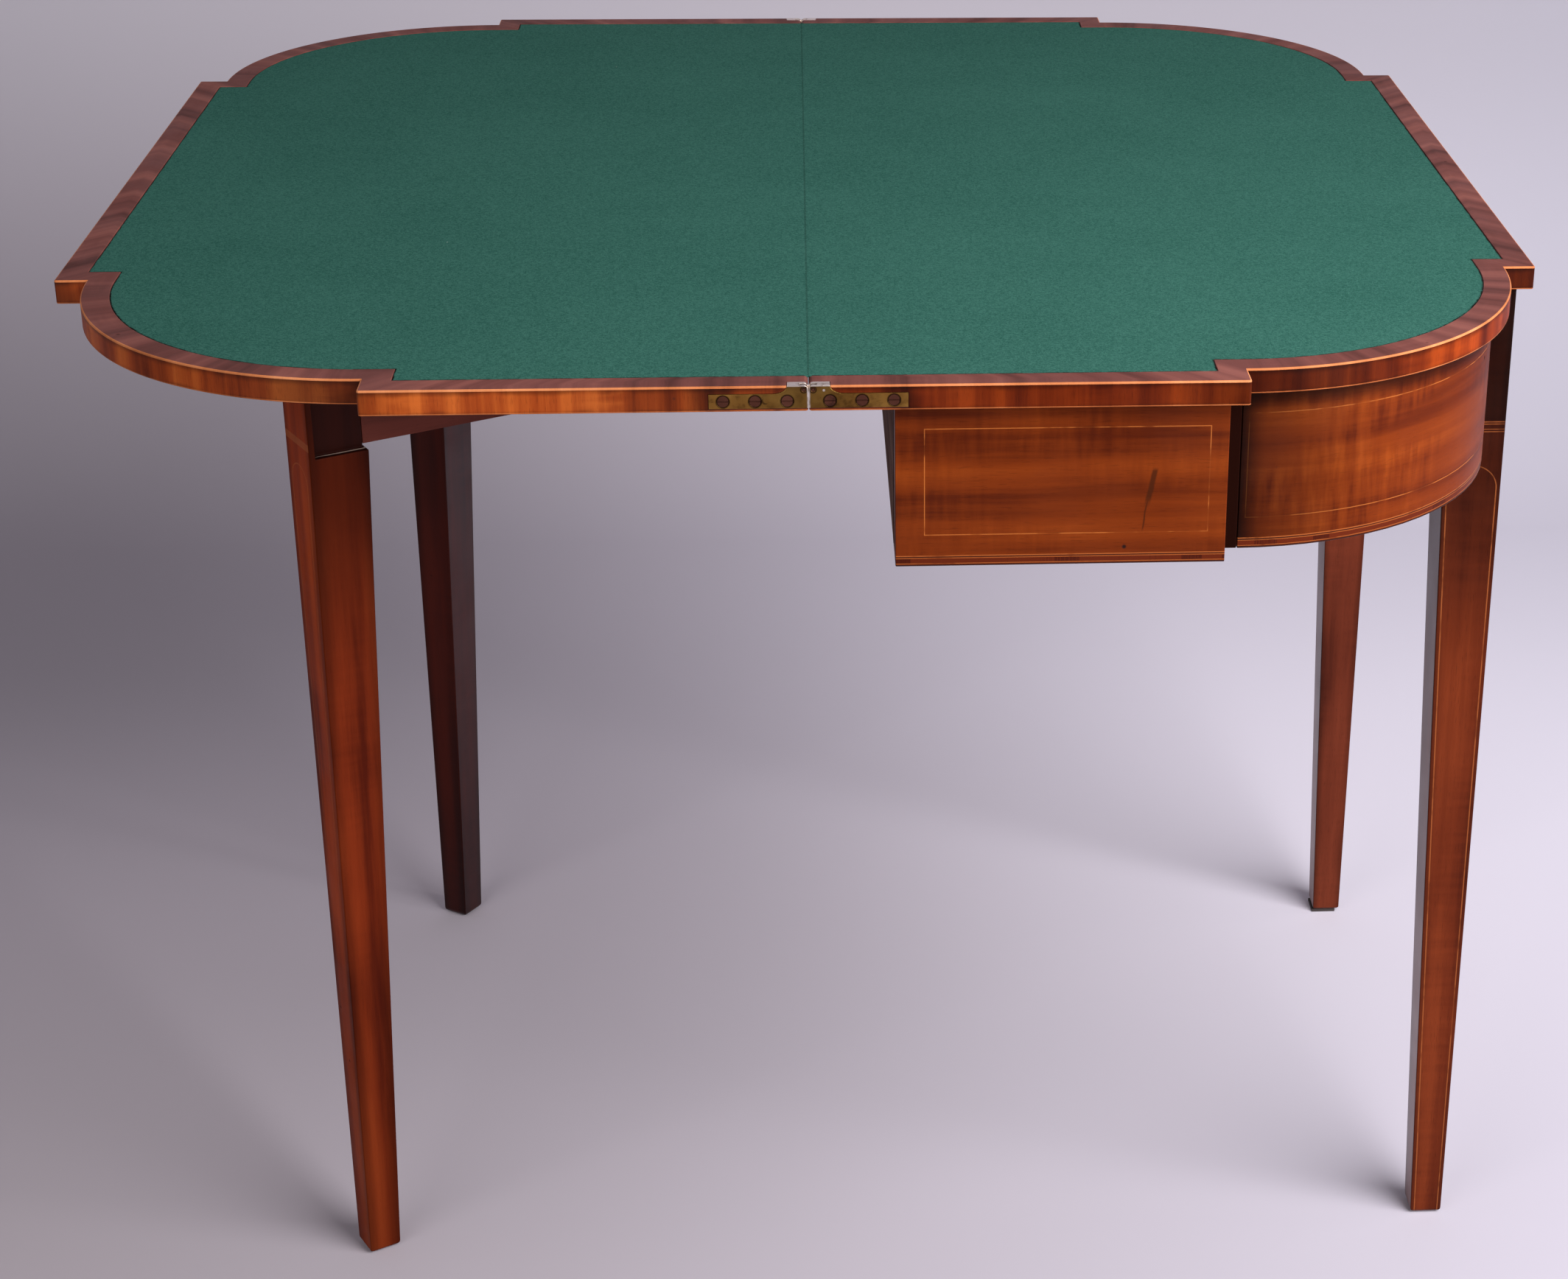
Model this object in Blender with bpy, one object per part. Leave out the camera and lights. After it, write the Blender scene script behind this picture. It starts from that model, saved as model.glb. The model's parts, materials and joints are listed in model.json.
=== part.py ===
"""A fold-over card table with two swinging gate legs, standing open.

The table is seen with its hinge seam on X = 0: the fixed leaf lies on the frieze at +X and
the folding leaf lies on the two open gate legs at -X. Y runs along the seam, Z is up, and
the origin is on the floor under the middle of the open top. All lengths are in metres.
"""

import math

import bmesh
import bpy
from mathutils import Matrix, Vector

# Driving dimensions of the whole table
TABLE_HEIGHT = 0.730
LEAF_THICKNESS = 0.015
LEAF_DEPTH = 0.461
HALF_LENGTH = 0.465
CORNER_RADIUS = 0.1905
BREAK_STEP = 0.020

# Clearances
TOUCH_GAP = 0.0003
SEAM_GAP = 0.00015
CUT_OVERRUN = 0.003

# Playing surface
BORDER_WIDTH = 0.019
RECESS_DEPTH = 0.0015
BAIZE_THICKNESS = 0.0010

# Frieze: end panels and curved corners around a rectangular carcass
FRIEZE_OVERHANG = 0.010
FRIEZE_DEPTH = 0.100
RAIL_THICKNESS = 0.022
BACK_RAIL_THICKNESS = 0.020
FRIEZE_BACK_X = 0.0486
TENON_THICKNESS = 0.008
TENON_LENGTH = 0.018
TENON_SHOULDER = 0.012
HOUSING_DEPTH = 0.006

# Front legs
LEG_WIDTH = 0.040
FOOT_WIDTH = 0.0225
LEG_FRONT_INSET = 0.0062
LEG_SIDE_INSET = 0.0178
TAPER_DROP = 0.004
FOOT_CHAMFER = 0.0015
PAD_WIDTH = 0.020
PAD_THICKNESS = 0.0025
PAD_OFFSET = 0.002

# Gates: a swinging arm, its leg, and a finger joint that turns on an upright pin
ARM_THICKNESS = 0.0214
ARM_TOP_CLEARANCE = 0.0012
ARM_BOTTOM_CLEARANCE = 0.0010
ARM_BACK_CLEARANCE = 0.0006
PIVOT_OFFSET = 0.047
GATE_LEG_OVERHANG = 0.005
REBATE_DEPTH = 0.0055
REBATE_CLEARANCE = 0.0006
LEDGE_DROP = 0.0015
LEG_CHEEK_SET_IN = 0.002
FINGER_COUNT = 5
FINGER_GAP = 0.0004
KNUCKLE_GAP = 0.0005
PIN_RADIUS = 0.003
PIN_END_INSET = 0.0005
ARM_TENON_LENGTH = 0.026
NEAR_GATE_DEGREES = 60.5
FAR_GATE_DEGREES = 57.0

# Brass link hinges let into both ends of the seam
LINK_PIN_INSET = 0.0026
LINK_END_RADIUS = 0.0019
LINK_THICKNESS = 0.0016
LINK_PIN_RADIUS = 0.0008
PLATE_LENGTH = 0.056
PLATE_THICKNESS = 0.002
TAB_LENGTH = 0.012
TAB_WIDTH = 0.007
TAB_DEPTH = 0.006
STRIP_TOP_DROP = 0.00475
STRIP_BOTTOM_DROP = 0.0133
SWEEP_LENGTH = 0.008
SCREW_HEAD_RADIUS = 0.0033
SCREW_HEAD_THICKNESS = 0.0013
SCREW_SHANK_RADIUS = 0.0015
SCREW_LENGTH = 0.014
SCREW_SLOT_WIDTH = 0.0008
SCREW_SLOT_DEPTH = 0.0006
SCREW_PLACE_SHARES = (0.214, 0.536, 0.857)

# Bearer across the carcass, with the screws that hold the fixed leaf down, and glue blocks
BEARER_WIDTH = 0.050
BEARER_HEIGHT = 0.022
LEAF_SCREW_BITE = 0.010
LEAF_SCREW_PLACE_SHARES = (0.15, 0.5, 0.85)
RAIL_SCREW_SHARE = 0.5
BLOCK_SIZE = 0.018
BLOCK_LENGTH = 0.045
BLOCK_PLACE_SHARE = 0.55

# Fineness of round work, as counts of sides
CORNER_SIDES = 20
KNUCKLE_SIDES = 32
ROUND_SIDES = 12
SWEEP_SIDES = 5
SEAM_SIDES = 6

# Places worked out from the sizes above
LEAF_BOTTOM = TABLE_HEIGHT - LEAF_THICKNESS
RAIL_TOP = LEAF_BOTTOM - TOUCH_GAP
RAIL_BOTTOM = LEAF_BOTTOM - FRIEZE_DEPTH
STRAIGHT_X = LEAF_DEPTH - BREAK_STEP - CORNER_RADIUS
STRAIGHT_Y = HALF_LENGTH - BREAK_STEP - CORNER_RADIUS
LINK_PIN_DROP = LINK_PIN_INSET - SEAM_GAP
FRIEZE_RADIUS = CORNER_RADIUS - FRIEZE_OVERHANG
FRIEZE_INNER_RADIUS = FRIEZE_RADIUS - RAIL_THICKNESS
END_RAIL_OUTER_Y = STRAIGHT_Y + FRIEZE_RADIUS
END_RAIL_INNER_Y = END_RAIL_OUTER_Y - RAIL_THICKNESS
END_PANEL_OUTER_Y = HALF_LENGTH - FRIEZE_OVERHANG
FRONT_RAIL_OUTER_X = LEAF_DEPTH - FRIEZE_OVERHANG
FRONT_RAIL_INNER_X = FRONT_RAIL_OUTER_X - RAIL_THICKNESS
BACK_RAIL_INNER_X = FRIEZE_BACK_X + BACK_RAIL_THICKNESS
LEG_FRONT_X = LEAF_DEPTH - LEG_FRONT_INSET
LEG_OUTER_Y = STRAIGHT_Y - LEG_SIDE_INSET
LEG_INNER_Y = LEG_OUTER_Y - LEG_WIDTH
ARM_FRONT_X = FRIEZE_BACK_X - ARM_BACK_CLEARANCE
KNUCKLE_RADIUS = ARM_THICKNESS / 2
PIVOT_X = ARM_FRONT_X - KNUCKLE_RADIUS
ARM_BOTTOM = RAIL_BOTTOM + ARM_BOTTOM_CLEARANCE
ARM_TOP = RAIL_TOP - ARM_TOP_CLEARANCE
GATE_LEG_OUTER_Y = HALF_LENGTH - GATE_LEG_OVERHANG
GATE_LEG_INNER_Y = GATE_LEG_OUTER_Y - LEG_WIDTH
GATE_LEG_FRONT_X = ARM_FRONT_X + REBATE_DEPTH
GATE_LEG_BACK_X = GATE_LEG_FRONT_X - LEG_WIDTH
HINGE_RAIL_BACK_X = PIVOT_X - KNUCKLE_RADIUS
CURVE_TENON_X = (LEG_FRONT_X - LEG_WIDTH + STRAIGHT_X + FRIEZE_RADIUS) / 2
END_TENON_Y = (END_RAIL_INNER_Y + END_RAIL_OUTER_Y) / 2

SIDES = ((-1, "near"), (1, "far"))


def new_material(name, colour, roughness, metallic=0.0):
    """A plain Principled material."""
    material = bpy.data.materials.new(name)
    material.use_nodes = True
    shader = material.node_tree.nodes["Principled BSDF"]
    shader.inputs["Base Color"].default_value = (*colour, 1.0)
    shader.inputs["Roughness"].default_value = roughness
    shader.inputs["Metallic"].default_value = metallic
    return material


def new_object(name, mesh_builder, material=None):
    """Run a function that fills a bmesh, and keep the result as a closed, outward solid."""
    mesh = bpy.data.meshes.new(name)
    bm = bmesh.new()
    mesh_builder(bm)
    bmesh.ops.recalc_face_normals(bm, faces=bm.faces)
    bm.to_mesh(mesh)
    bm.free()
    item = bpy.data.objects.new(name, mesh)
    bpy.context.scene.collection.objects.link(item)
    if material:
        mesh.materials.append(material)
    return item


def placing(along):
    """Plane coordinates are (X, Y) along Z, (X, Z) along Y and (Y, Z) along X."""
    return {"X": lambda u, v, w: (w, u, v), "Y": lambda u, v, w: (u, w, v),
            "Z": lambda u, v, w: (u, v, w)}[along]


def add_prism(bm, outline, low, high, along="Z"):
    """Extrude an outline of plane coordinates from low to high."""
    place = placing(along)
    floor = [bm.verts.new(place(u, v, low)) for u, v in outline]
    ceiling = [bm.verts.new(place(u, v, high)) for u, v in outline]
    bm.faces.new(floor)
    bm.faces.new(ceiling)
    for i in range(len(outline)):
        j = (i + 1) % len(outline)
        bm.faces.new((floor[i], floor[j], ceiling[j], ceiling[i]))


def add_turned(bm, centre, profile, along="Z"):
    """Turn a profile of (level, radius) steps about an axis through the centre."""
    place = placing(along)
    rings = []
    for level, radius in profile:
        rings.append([bm.verts.new(place(u, v, level)) for u, v in circle(*centre, radius)])
    bm.faces.new(rings[0])
    bm.faces.new(rings[-1])
    for low, high in zip(rings, rings[1:]):
        for i in range(ROUND_SIDES):
            j = (i + 1) % ROUND_SIDES
            bm.faces.new((low[i], low[j], high[j], high[i]))


def add_box(bm, x_ends, y_ends, z_ends):
    (x0, x1), (y0, y1) = x_ends, y_ends
    add_prism(bm, [(x0, y0), (x1, y0), (x1, y1), (x0, y1)], *z_ends)


def prism(name, outline, low, high, along="Z", material=None):
    return new_object(name, lambda bm: add_prism(bm, outline, low, high, along), material)


def box(name, x_ends, y_ends, z_ends, material=None):
    return new_object(name, lambda bm: add_box(bm, x_ends, y_ends, z_ends), material)


def circle(u, v, radius, sides=ROUND_SIDES):
    turns = [2 * math.pi * i / sides for i in range(sides)]
    return [(u + radius * math.cos(t), v + radius * math.sin(t)) for t in turns]


def arc(u, v, radius, start_degrees, end_degrees, sides):
    """Points of an arc, both ends included."""
    span = end_degrees - start_degrees
    turns = [math.radians(start_degrees + span * i / sides) for i in range(sides + 1)]
    return [(u + radius * math.cos(t), v + radius * math.sin(t)) for t in turns]


def combine(target, tool, operation):
    """Cut a hidden tool out of the target, or join it on, with an exact Boolean."""
    tool.hide_render = True
    tool.display_type = "WIRE"
    modifier = target.modifiers.new(tool.name, "BOOLEAN")
    modifier.operation = operation
    modifier.solver = "EXACT"
    modifier.object = tool


def cut(target, tool):
    combine(target, tool, "DIFFERENCE")


def join(target, tool):
    combine(target, tool, "UNION")


def mirrored(points, hand):
    return [(hand * u, v) for u, v in points]


def ends(first, second):
    return tuple(sorted((first, second)))


# The two leaves share one outline: straight breaks at the ends and the front, standing one
# step proud of the quarter-round corners between them.
def leaf_outline(inset, seam_x):
    end_y = HALF_LENGTH - inset
    front_x = LEAF_DEPTH - inset
    corner_y = end_y - BREAK_STEP
    corner_x = front_x - BREAK_STEP
    near_half = [
        (seam_x, -end_y),
        (STRAIGHT_X - inset, -end_y),
        (STRAIGHT_X - inset, -corner_y),
        *arc(STRAIGHT_X, -STRAIGHT_Y, CORNER_RADIUS - inset, -90, 0, CORNER_SIDES),
    ]
    if inset > 0:
        near_half.append((corner_x, -(STRAIGHT_Y - inset)))
    near_half.append((front_x, -(STRAIGHT_Y - inset)))
    far_half = [(x, -y) for x, y in reversed(near_half)]
    points = near_half + far_half
    return [p for i, p in enumerate(points) if p != points[i - 1]]


# The top corners of the seam are rounded about the hinge pins, so that the leaves can roll
# past each other: this tool is the waste outside that round.
def seam_waste(hand):
    pin_z = TABLE_HEIGHT - LINK_PIN_DROP
    curve = arc(LINK_PIN_INSET, pin_z, LINK_PIN_DROP, 180, 90, SEAM_SIDES)
    above = TABLE_HEIGHT + CUT_OVERRUN
    outline = [*curve, (LINK_PIN_INSET, above), (-SEAM_GAP, above), (-SEAM_GAP, pin_z)]
    reach = HALF_LENGTH + CUT_OVERRUN
    return prism(f"waste_seam_{hand:+d}", mirrored(outline, hand), -reach, reach, "Y")


def plate_outline(grow, top_z, seam_x):
    """Side view of a hinge plate: a full tab by the seam, swept down to a narrow strip."""
    strip_top = TABLE_HEIGHT - STRIP_TOP_DROP + grow
    strip_bottom = TABLE_HEIGHT - STRIP_BOTTOM_DROP - grow
    sweep = []
    for i in range(SWEEP_SIDES + 1):
        turn = math.pi / 2 * i / SWEEP_SIDES
        along = TAB_LENGTH + grow + SWEEP_LENGTH * (1 - math.cos(turn))
        sweep.append((along, TABLE_HEIGHT - (TABLE_HEIGHT - strip_top) * math.sin(turn)))
    end = PLATE_LENGTH + grow
    points = [(seam_x, strip_bottom), (end, strip_bottom), (end, strip_top), *reversed(sweep)]
    if top_z > TABLE_HEIGHT:
        points.append((TAB_LENGTH + grow, top_z))
    return [*points, (seam_x, top_z)]


def screw_places(hand):
    middle_z = TABLE_HEIGHT - (STRIP_TOP_DROP + STRIP_BOTTOM_DROP) / 2
    return [(hand * PLATE_LENGTH * share, middle_z) for share in SCREW_PLACE_SHARES]


def screw_profile(head_level, direction, length, grow=0.0):
    """A screw turned from its flush head along one direction; grown, the waste for its hole."""
    start = head_level - direction * (CUT_OVERRUN if grow else 0)
    neck = head_level + direction * (SCREW_HEAD_THICKNESS + grow)
    tip = head_level + direction * (length + grow)
    head_radius, shank_radius = SCREW_HEAD_RADIUS + grow, SCREW_SHANK_RADIUS + grow
    return [(start, head_radius), (neck, head_radius), (neck, shank_radius), (tip, shank_radius)]


def screw(name, centre, profile, along, slot_tool, material):
    item = new_object(name, lambda bm: add_turned(bm, centre, profile, along), material)
    cut(item, slot_tool)


def screw_holes(name, places, profile, along):
    def holes(bm):
        for centre in places:
            add_turned(bm, centre, profile, along)

    return new_object(name, holes)


def from_edge(side, depth_out, depth_in):
    """Two Y places measured inwards from the leaf's end edge."""
    return ends(side * (HALF_LENGTH - depth_out), side * (HALF_LENGTH - depth_in))


def leaf(name, hand, seam_tool, material):
    item = prism(name, mirrored(leaf_outline(0, SEAM_GAP), hand), LEAF_BOTTOM, TABLE_HEIGHT,
                 material=material)
    recess = prism(f"waste_recess_{name}", mirrored(leaf_outline(BORDER_WIDTH, -CUT_OVERRUN), hand),
                   TABLE_HEIGHT - RECESS_DEPTH, TABLE_HEIGHT + CUT_OVERRUN)
    cut(item, recess)
    for side, label in SIDES:
        cut(item, hinge_pocket(f"{name}_{label}", hand, side))
    cut(item, seam_tool)
    return item


def baize(name, hand, seam_tool, material):
    bottom = TABLE_HEIGHT - RECESS_DEPTH + TOUCH_GAP
    outline = leaf_outline(BORDER_WIDTH + TOUCH_GAP, SEAM_GAP)
    item = prism(name, mirrored(outline, hand), bottom, bottom + BAIZE_THICKNESS,
                 material=material)
    cut(item, seam_tool)


def hinge_pocket(label, hand, side):
    """The housing that a hinge plate, its block and its screws are let into."""
    pocket = prism(f"waste_plate_{label}",
                   mirrored(plate_outline(TOUCH_GAP, TABLE_HEIGHT + CUT_OVERRUN, -CUT_OVERRUN), hand),
                   *from_edge(side, -CUT_OVERRUN, PLATE_THICKNESS + TOUCH_GAP), "Y")

    def block(bm):
        add_box(bm, ends(-hand * CUT_OVERRUN, hand * (TAB_LENGTH + TOUCH_GAP)),
                from_edge(side, -CUT_OVERRUN, TAB_WIDTH + TOUCH_GAP),
                (TABLE_HEIGHT - TAB_DEPTH - TOUCH_GAP, TABLE_HEIGHT + CUT_OVERRUN))

    join(pocket, new_object(f"waste_block_{label}", block))
    profile = screw_profile(side * HALF_LENGTH, -side, SCREW_LENGTH, TOUCH_GAP)
    join(pocket, screw_holes(f"waste_pilot_{label}", screw_places(hand), profile, "Y"))
    return pocket


def hinge_plate(name, hand, side, seam_tool, material):
    """A brass plate with a block under its top tab, slotted for the link."""
    item = prism(name, mirrored(plate_outline(0, TABLE_HEIGHT, SEAM_GAP), hand),
                 *from_edge(side, 0, PLATE_THICKNESS), "Y", material)
    block = box(f"add_block_{name}", ends(hand * SEAM_GAP, hand * TAB_LENGTH),
                from_edge(side, 0, TAB_WIDTH), (TABLE_HEIGHT - TAB_DEPTH, TABLE_HEIGHT))
    join(item, block)
    slot_half = LINK_THICKNESS / 2 + TOUCH_GAP
    reach = LINK_END_RADIUS + TOUCH_GAP
    slot = box(f"waste_slot_{name}", ends(-hand * CUT_OVERRUN, hand * (LINK_PIN_INSET + reach)),
               from_edge(side, TAB_WIDTH / 2 - slot_half, TAB_WIDTH / 2 + slot_half),
               (TABLE_HEIGHT - LINK_PIN_DROP - reach, TABLE_HEIGHT + CUT_OVERRUN))
    cut(item, slot)

    eye = prism(f"waste_eye_{name}",
                circle(hand * LINK_PIN_INSET, TABLE_HEIGHT - LINK_PIN_DROP, LINK_PIN_RADIUS + TOUCH_GAP),
                *from_edge(side, -CUT_OVERRUN, TAB_WIDTH + CUT_OVERRUN), "Y")
    profile = screw_profile(side * HALF_LENGTH, -side, SCREW_LENGTH, TOUCH_GAP)
    cut(item, eye)
    cut(item, screw_holes(f"waste_screws_{name}", screw_places(hand), profile, "Y"))
    cut(item, seam_tool)


def hinge_screws(prefix, hand, side, material):
    """Three screws with flush slotted heads hold each plate to its leaf."""
    profile = screw_profile(side * HALF_LENGTH, -side, SCREW_LENGTH)
    half = SCREW_SLOT_WIDTH / 2
    for number, (x, z) in enumerate(screw_places(hand), 1):
        slot = box(f"waste_slot_{prefix}_{number}", middle(x, 2 * SCREW_HEAD_RADIUS, CUT_OVERRUN),
                   from_edge(side, -CUT_OVERRUN, SCREW_SLOT_DEPTH), (z - half, z + half))
        screw(f"{prefix}_{number}", (x, z), profile, "Y", slot, material)


def hinge_link(name, side, material):
    """A round-ended brass bar between the two hinge pins."""
    pin_z = TABLE_HEIGHT - LINK_PIN_DROP
    outline = [*arc(LINK_PIN_INSET, pin_z, LINK_END_RADIUS, -90, 90, ROUND_SIDES),
               *arc(-LINK_PIN_INSET, pin_z, LINK_END_RADIUS, 90, 270, ROUND_SIDES)]
    half = LINK_THICKNESS / 2
    item = prism(name, outline, *from_edge(side, TAB_WIDTH / 2 - half, TAB_WIDTH / 2 + half),
                 "Y", material)

    def eyes(bm):
        for hand in (1, -1):
            add_prism(bm, circle(hand * LINK_PIN_INSET, pin_z, LINK_PIN_RADIUS + TOUCH_GAP),
                      *from_edge(side, 0, TAB_WIDTH), "Y")

    cut(item, new_object(f"waste_eyes_{name}", eyes))


def hinge_pin(name, hand, side, material):
    prism(name, circle(hand * LINK_PIN_INSET, TABLE_HEIGHT - LINK_PIN_DROP, LINK_PIN_RADIUS),
          *from_edge(side, 0, TAB_WIDTH), "Y", material)


# A leg is square where it stands beside the frieze, then tapers on its two inner faces down
# to the foot, which has its bottom edges eased.
def leg(name, outer_x, inner_x, outer_y, inner_y, foot_z, top_z, material):
    sign_x = math.copysign(1, inner_x - outer_x)
    sign_y = math.copysign(1, inner_y - outer_y)

    def square(bm, z, width, eased):
        x0, x1 = outer_x + sign_x * eased, outer_x + sign_x * (width - eased)
        y0, y1 = outer_y + sign_y * eased, outer_y + sign_y * (width - eased)
        return [bm.verts.new((x, y, z)) for x, y in ((x0, y0), (x1, y0), (x1, y1), (x0, y1))]

    def loft(bm):
        levels = [
            square(bm, foot_z, FOOT_WIDTH, FOOT_CHAMFER),
            square(bm, foot_z + FOOT_CHAMFER, FOOT_WIDTH, 0),
            square(bm, RAIL_BOTTOM - TAPER_DROP, LEG_WIDTH, 0),
            square(bm, top_z, LEG_WIDTH, 0),
        ]
        bm.faces.new(levels[0])
        bm.faces.new(levels[-1])
        for low, high in zip(levels, levels[1:]):
            for i in range(4):
                j = (i + 1) % 4
                bm.faces.new((low[i], low[j], high[j], high[i]))

    return new_object(name, loft, material)


def tenon_z(grow=0.0):
    return (RAIL_BOTTOM + TENON_SHOULDER - grow, RAIL_TOP - TENON_SHOULDER + grow)


def middle(centre, width, grow=0.0):
    return (centre - width / 2 - grow, centre + width / 2 + grow)


def front_leg(side, label, material):
    """A front leg, mortised for the front rail on one side and the curved rail on the other."""
    pad_room = PAD_THICKNESS + TOUCH_GAP if side > 0 else 0.0
    item = leg(f"front_leg_{label}", LEG_FRONT_X, LEG_FRONT_X - LEG_WIDTH, side * LEG_OUTER_Y,
               side * LEG_INNER_Y, pad_room, RAIL_TOP, material)
    reach = TENON_LENGTH + TOUCH_GAP
    rail_mortise = box(f"waste_rail_mortise_{label}",
                       middle(FRONT_RAIL_OUTER_X - RAIL_THICKNESS / 2, TENON_THICKNESS, TOUCH_GAP),
                       ends(side * (LEG_INNER_Y - CUT_OVERRUN), side * (LEG_INNER_Y + reach)),
                       tenon_z(TOUCH_GAP))
    curve_mortise = box(f"waste_curve_mortise_{label}",
                        middle(CURVE_TENON_X, TENON_THICKNESS, TOUCH_GAP),
                        ends(side * (LEG_OUTER_Y + CUT_OVERRUN), side * (LEG_OUTER_Y - reach)),
                        tenon_z(TOUCH_GAP))
    cut(item, rail_mortise)
    cut(item, curve_mortise)


def front_rail(material):
    item = box("front_rail", (FRONT_RAIL_INNER_X, FRONT_RAIL_OUTER_X),
               (-(LEG_INNER_Y - TOUCH_GAP), LEG_INNER_Y - TOUCH_GAP), (RAIL_BOTTOM, RAIL_TOP),
               material)
    reach = LEG_INNER_Y - TOUCH_GAP + TENON_LENGTH
    join(item, box("add_front_tenons",
                   middle(FRONT_RAIL_OUTER_X - RAIL_THICKNESS / 2, TENON_THICKNESS),
                   (-reach, reach), tenon_z()))
    cut(item, bearer_shape("waste_front_housing", TOUCH_GAP))


def corner_rail(side, label, material):
    """The curved rail: flush with the end rail, a quarter circle, then straight to the leg."""
    end_y = LEG_OUTER_Y + TOUCH_GAP
    outline = [
        *arc(STRAIGHT_X, STRAIGHT_Y, FRIEZE_RADIUS, 90, 0, CORNER_SIDES),
        (STRAIGHT_X + FRIEZE_RADIUS, end_y),
        (STRAIGHT_X + FRIEZE_INNER_RADIUS, end_y),
        *arc(STRAIGHT_X, STRAIGHT_Y, FRIEZE_INNER_RADIUS, 0, 90, CORNER_SIDES),
    ]
    item = prism(f"corner_rail_{label}", [(x, side * y) for x, y in outline],
                 RAIL_BOTTOM, RAIL_TOP, material=material)
    join(item, box(f"add_curve_tenon_{label}", middle(CURVE_TENON_X, TENON_THICKNESS),
                   ends(side * (end_y + TENON_SHOULDER), side * (end_y - TENON_LENGTH)), tenon_z()))
    join(item, box(f"add_end_tenon_{label}",
                   (STRAIGHT_X - TENON_LENGTH, STRAIGHT_X + TENON_SHOULDER),
                   middle(side * END_TENON_Y, TENON_THICKNESS), tenon_z()))


def end_rail(side, label, material):
    """A straight rail, housed for the back rail and mortised for the curved rail."""
    item = box(f"end_rail_{label}", (FRIEZE_BACK_X, STRAIGHT_X - TOUCH_GAP),
               ends(side * END_RAIL_INNER_Y, side * END_RAIL_OUTER_Y), (RAIL_BOTTOM, RAIL_TOP),
               material)
    cut(item, box(f"waste_housing_{label}",
                  (FRIEZE_BACK_X - CUT_OVERRUN, BACK_RAIL_INNER_X + TOUCH_GAP),
                  ends(side * (END_RAIL_INNER_Y - CUT_OVERRUN),
                       side * (END_RAIL_INNER_Y + HOUSING_DEPTH + TOUCH_GAP)),
                  (RAIL_BOTTOM - CUT_OVERRUN, RAIL_TOP + CUT_OVERRUN)))
    cut(item, box(f"waste_end_mortise_{label}",
                  (STRAIGHT_X - TENON_LENGTH - TOUCH_GAP, STRAIGHT_X + CUT_OVERRUN),
                  middle(side * END_TENON_Y, TENON_THICKNESS, TOUCH_GAP), tenon_z(TOUCH_GAP)))


def end_panel(side, label, material):
    """The panel planted on the end rail, which makes the straight break at the table's end."""
    box(f"end_panel_{label}", (FRIEZE_BACK_X, STRAIGHT_X - FRIEZE_OVERHANG),
        ends(side * (END_RAIL_OUTER_Y + TOUCH_GAP), side * END_PANEL_OUTER_Y),
        (RAIL_BOTTOM, RAIL_TOP), material)


def back_rail(material):
    reach = END_RAIL_INNER_Y + HOUSING_DEPTH
    item = box("back_rail", (FRIEZE_BACK_X, BACK_RAIL_INNER_X), (-reach, reach),
               (RAIL_BOTTOM, RAIL_TOP), material)
    cut(item, bearer_shape("waste_back_housing", TOUCH_GAP))
    cut(item, screw_holes("waste_back_rail_screws", rail_screw_places(),
                          rail_screw_profile(TOUCH_GAP), "X"))


def bearer_shape(name, grow, material=None):
    """The bearer's bar, whose ends enter the front and back rails by a housing's depth."""
    return box(name,
               (BACK_RAIL_INNER_X - HOUSING_DEPTH - grow, FRONT_RAIL_INNER_X + HOUSING_DEPTH + grow),
               middle(0, BEARER_WIDTH, grow),
               (RAIL_TOP - BEARER_HEIGHT - grow, RAIL_TOP + (CUT_OVERRUN if grow else 0)), material)


def leaf_screw_places():
    span = FRONT_RAIL_INNER_X - BACK_RAIL_INNER_X
    return [(BACK_RAIL_INNER_X + span * share, 0.0) for share in LEAF_SCREW_PLACE_SHARES]


def leaf_screw_profile(grow=0.0):
    """The screws driven up through the bearer into the fixed leaf."""
    return screw_profile(RAIL_TOP - BEARER_HEIGHT, 1, BEARER_HEIGHT + LEAF_SCREW_BITE, grow)


def leaf_screws(material):
    low = RAIL_TOP - BEARER_HEIGHT
    for number, (x, y) in enumerate(leaf_screw_places(), 1):
        slot = box(f"waste_slot_leaf_{number}", middle(x, 2 * SCREW_HEAD_RADIUS, CUT_OVERRUN),
                   middle(y, SCREW_SLOT_WIDTH), (low - CUT_OVERRUN, low + SCREW_SLOT_DEPTH))
        screw(f"leaf_screw_{number}", (x, y), leaf_screw_profile(), "Z", slot, material)


def rail_screw_places():
    middle_z = (RAIL_BOTTOM + RAIL_TOP) / 2
    reach = PIVOT_OFFSET * RAIL_SCREW_SHARE
    return [(-reach, middle_z), (reach, middle_z)]


def rail_screw_profile(grow=0.0):
    """The screws that fix the hinge rail to the back rail."""
    length = FRIEZE_BACK_X - HINGE_RAIL_BACK_X + BACK_RAIL_THICKNESS / 2
    return screw_profile(HINGE_RAIL_BACK_X, 1, length, grow)


def rail_screws(material):
    low = HINGE_RAIL_BACK_X
    for number, (y, z) in enumerate(rail_screw_places(), 1):
        slot = box(f"waste_slot_rail_{number}", (low - CUT_OVERRUN, low + SCREW_SLOT_DEPTH),
                   middle(y, 2 * SCREW_HEAD_RADIUS, CUT_OVERRUN), middle(z, SCREW_SLOT_WIDTH))
        screw(f"rail_screw_{number}", (y, z), rail_screw_profile(), "X", slot, material)


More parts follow.
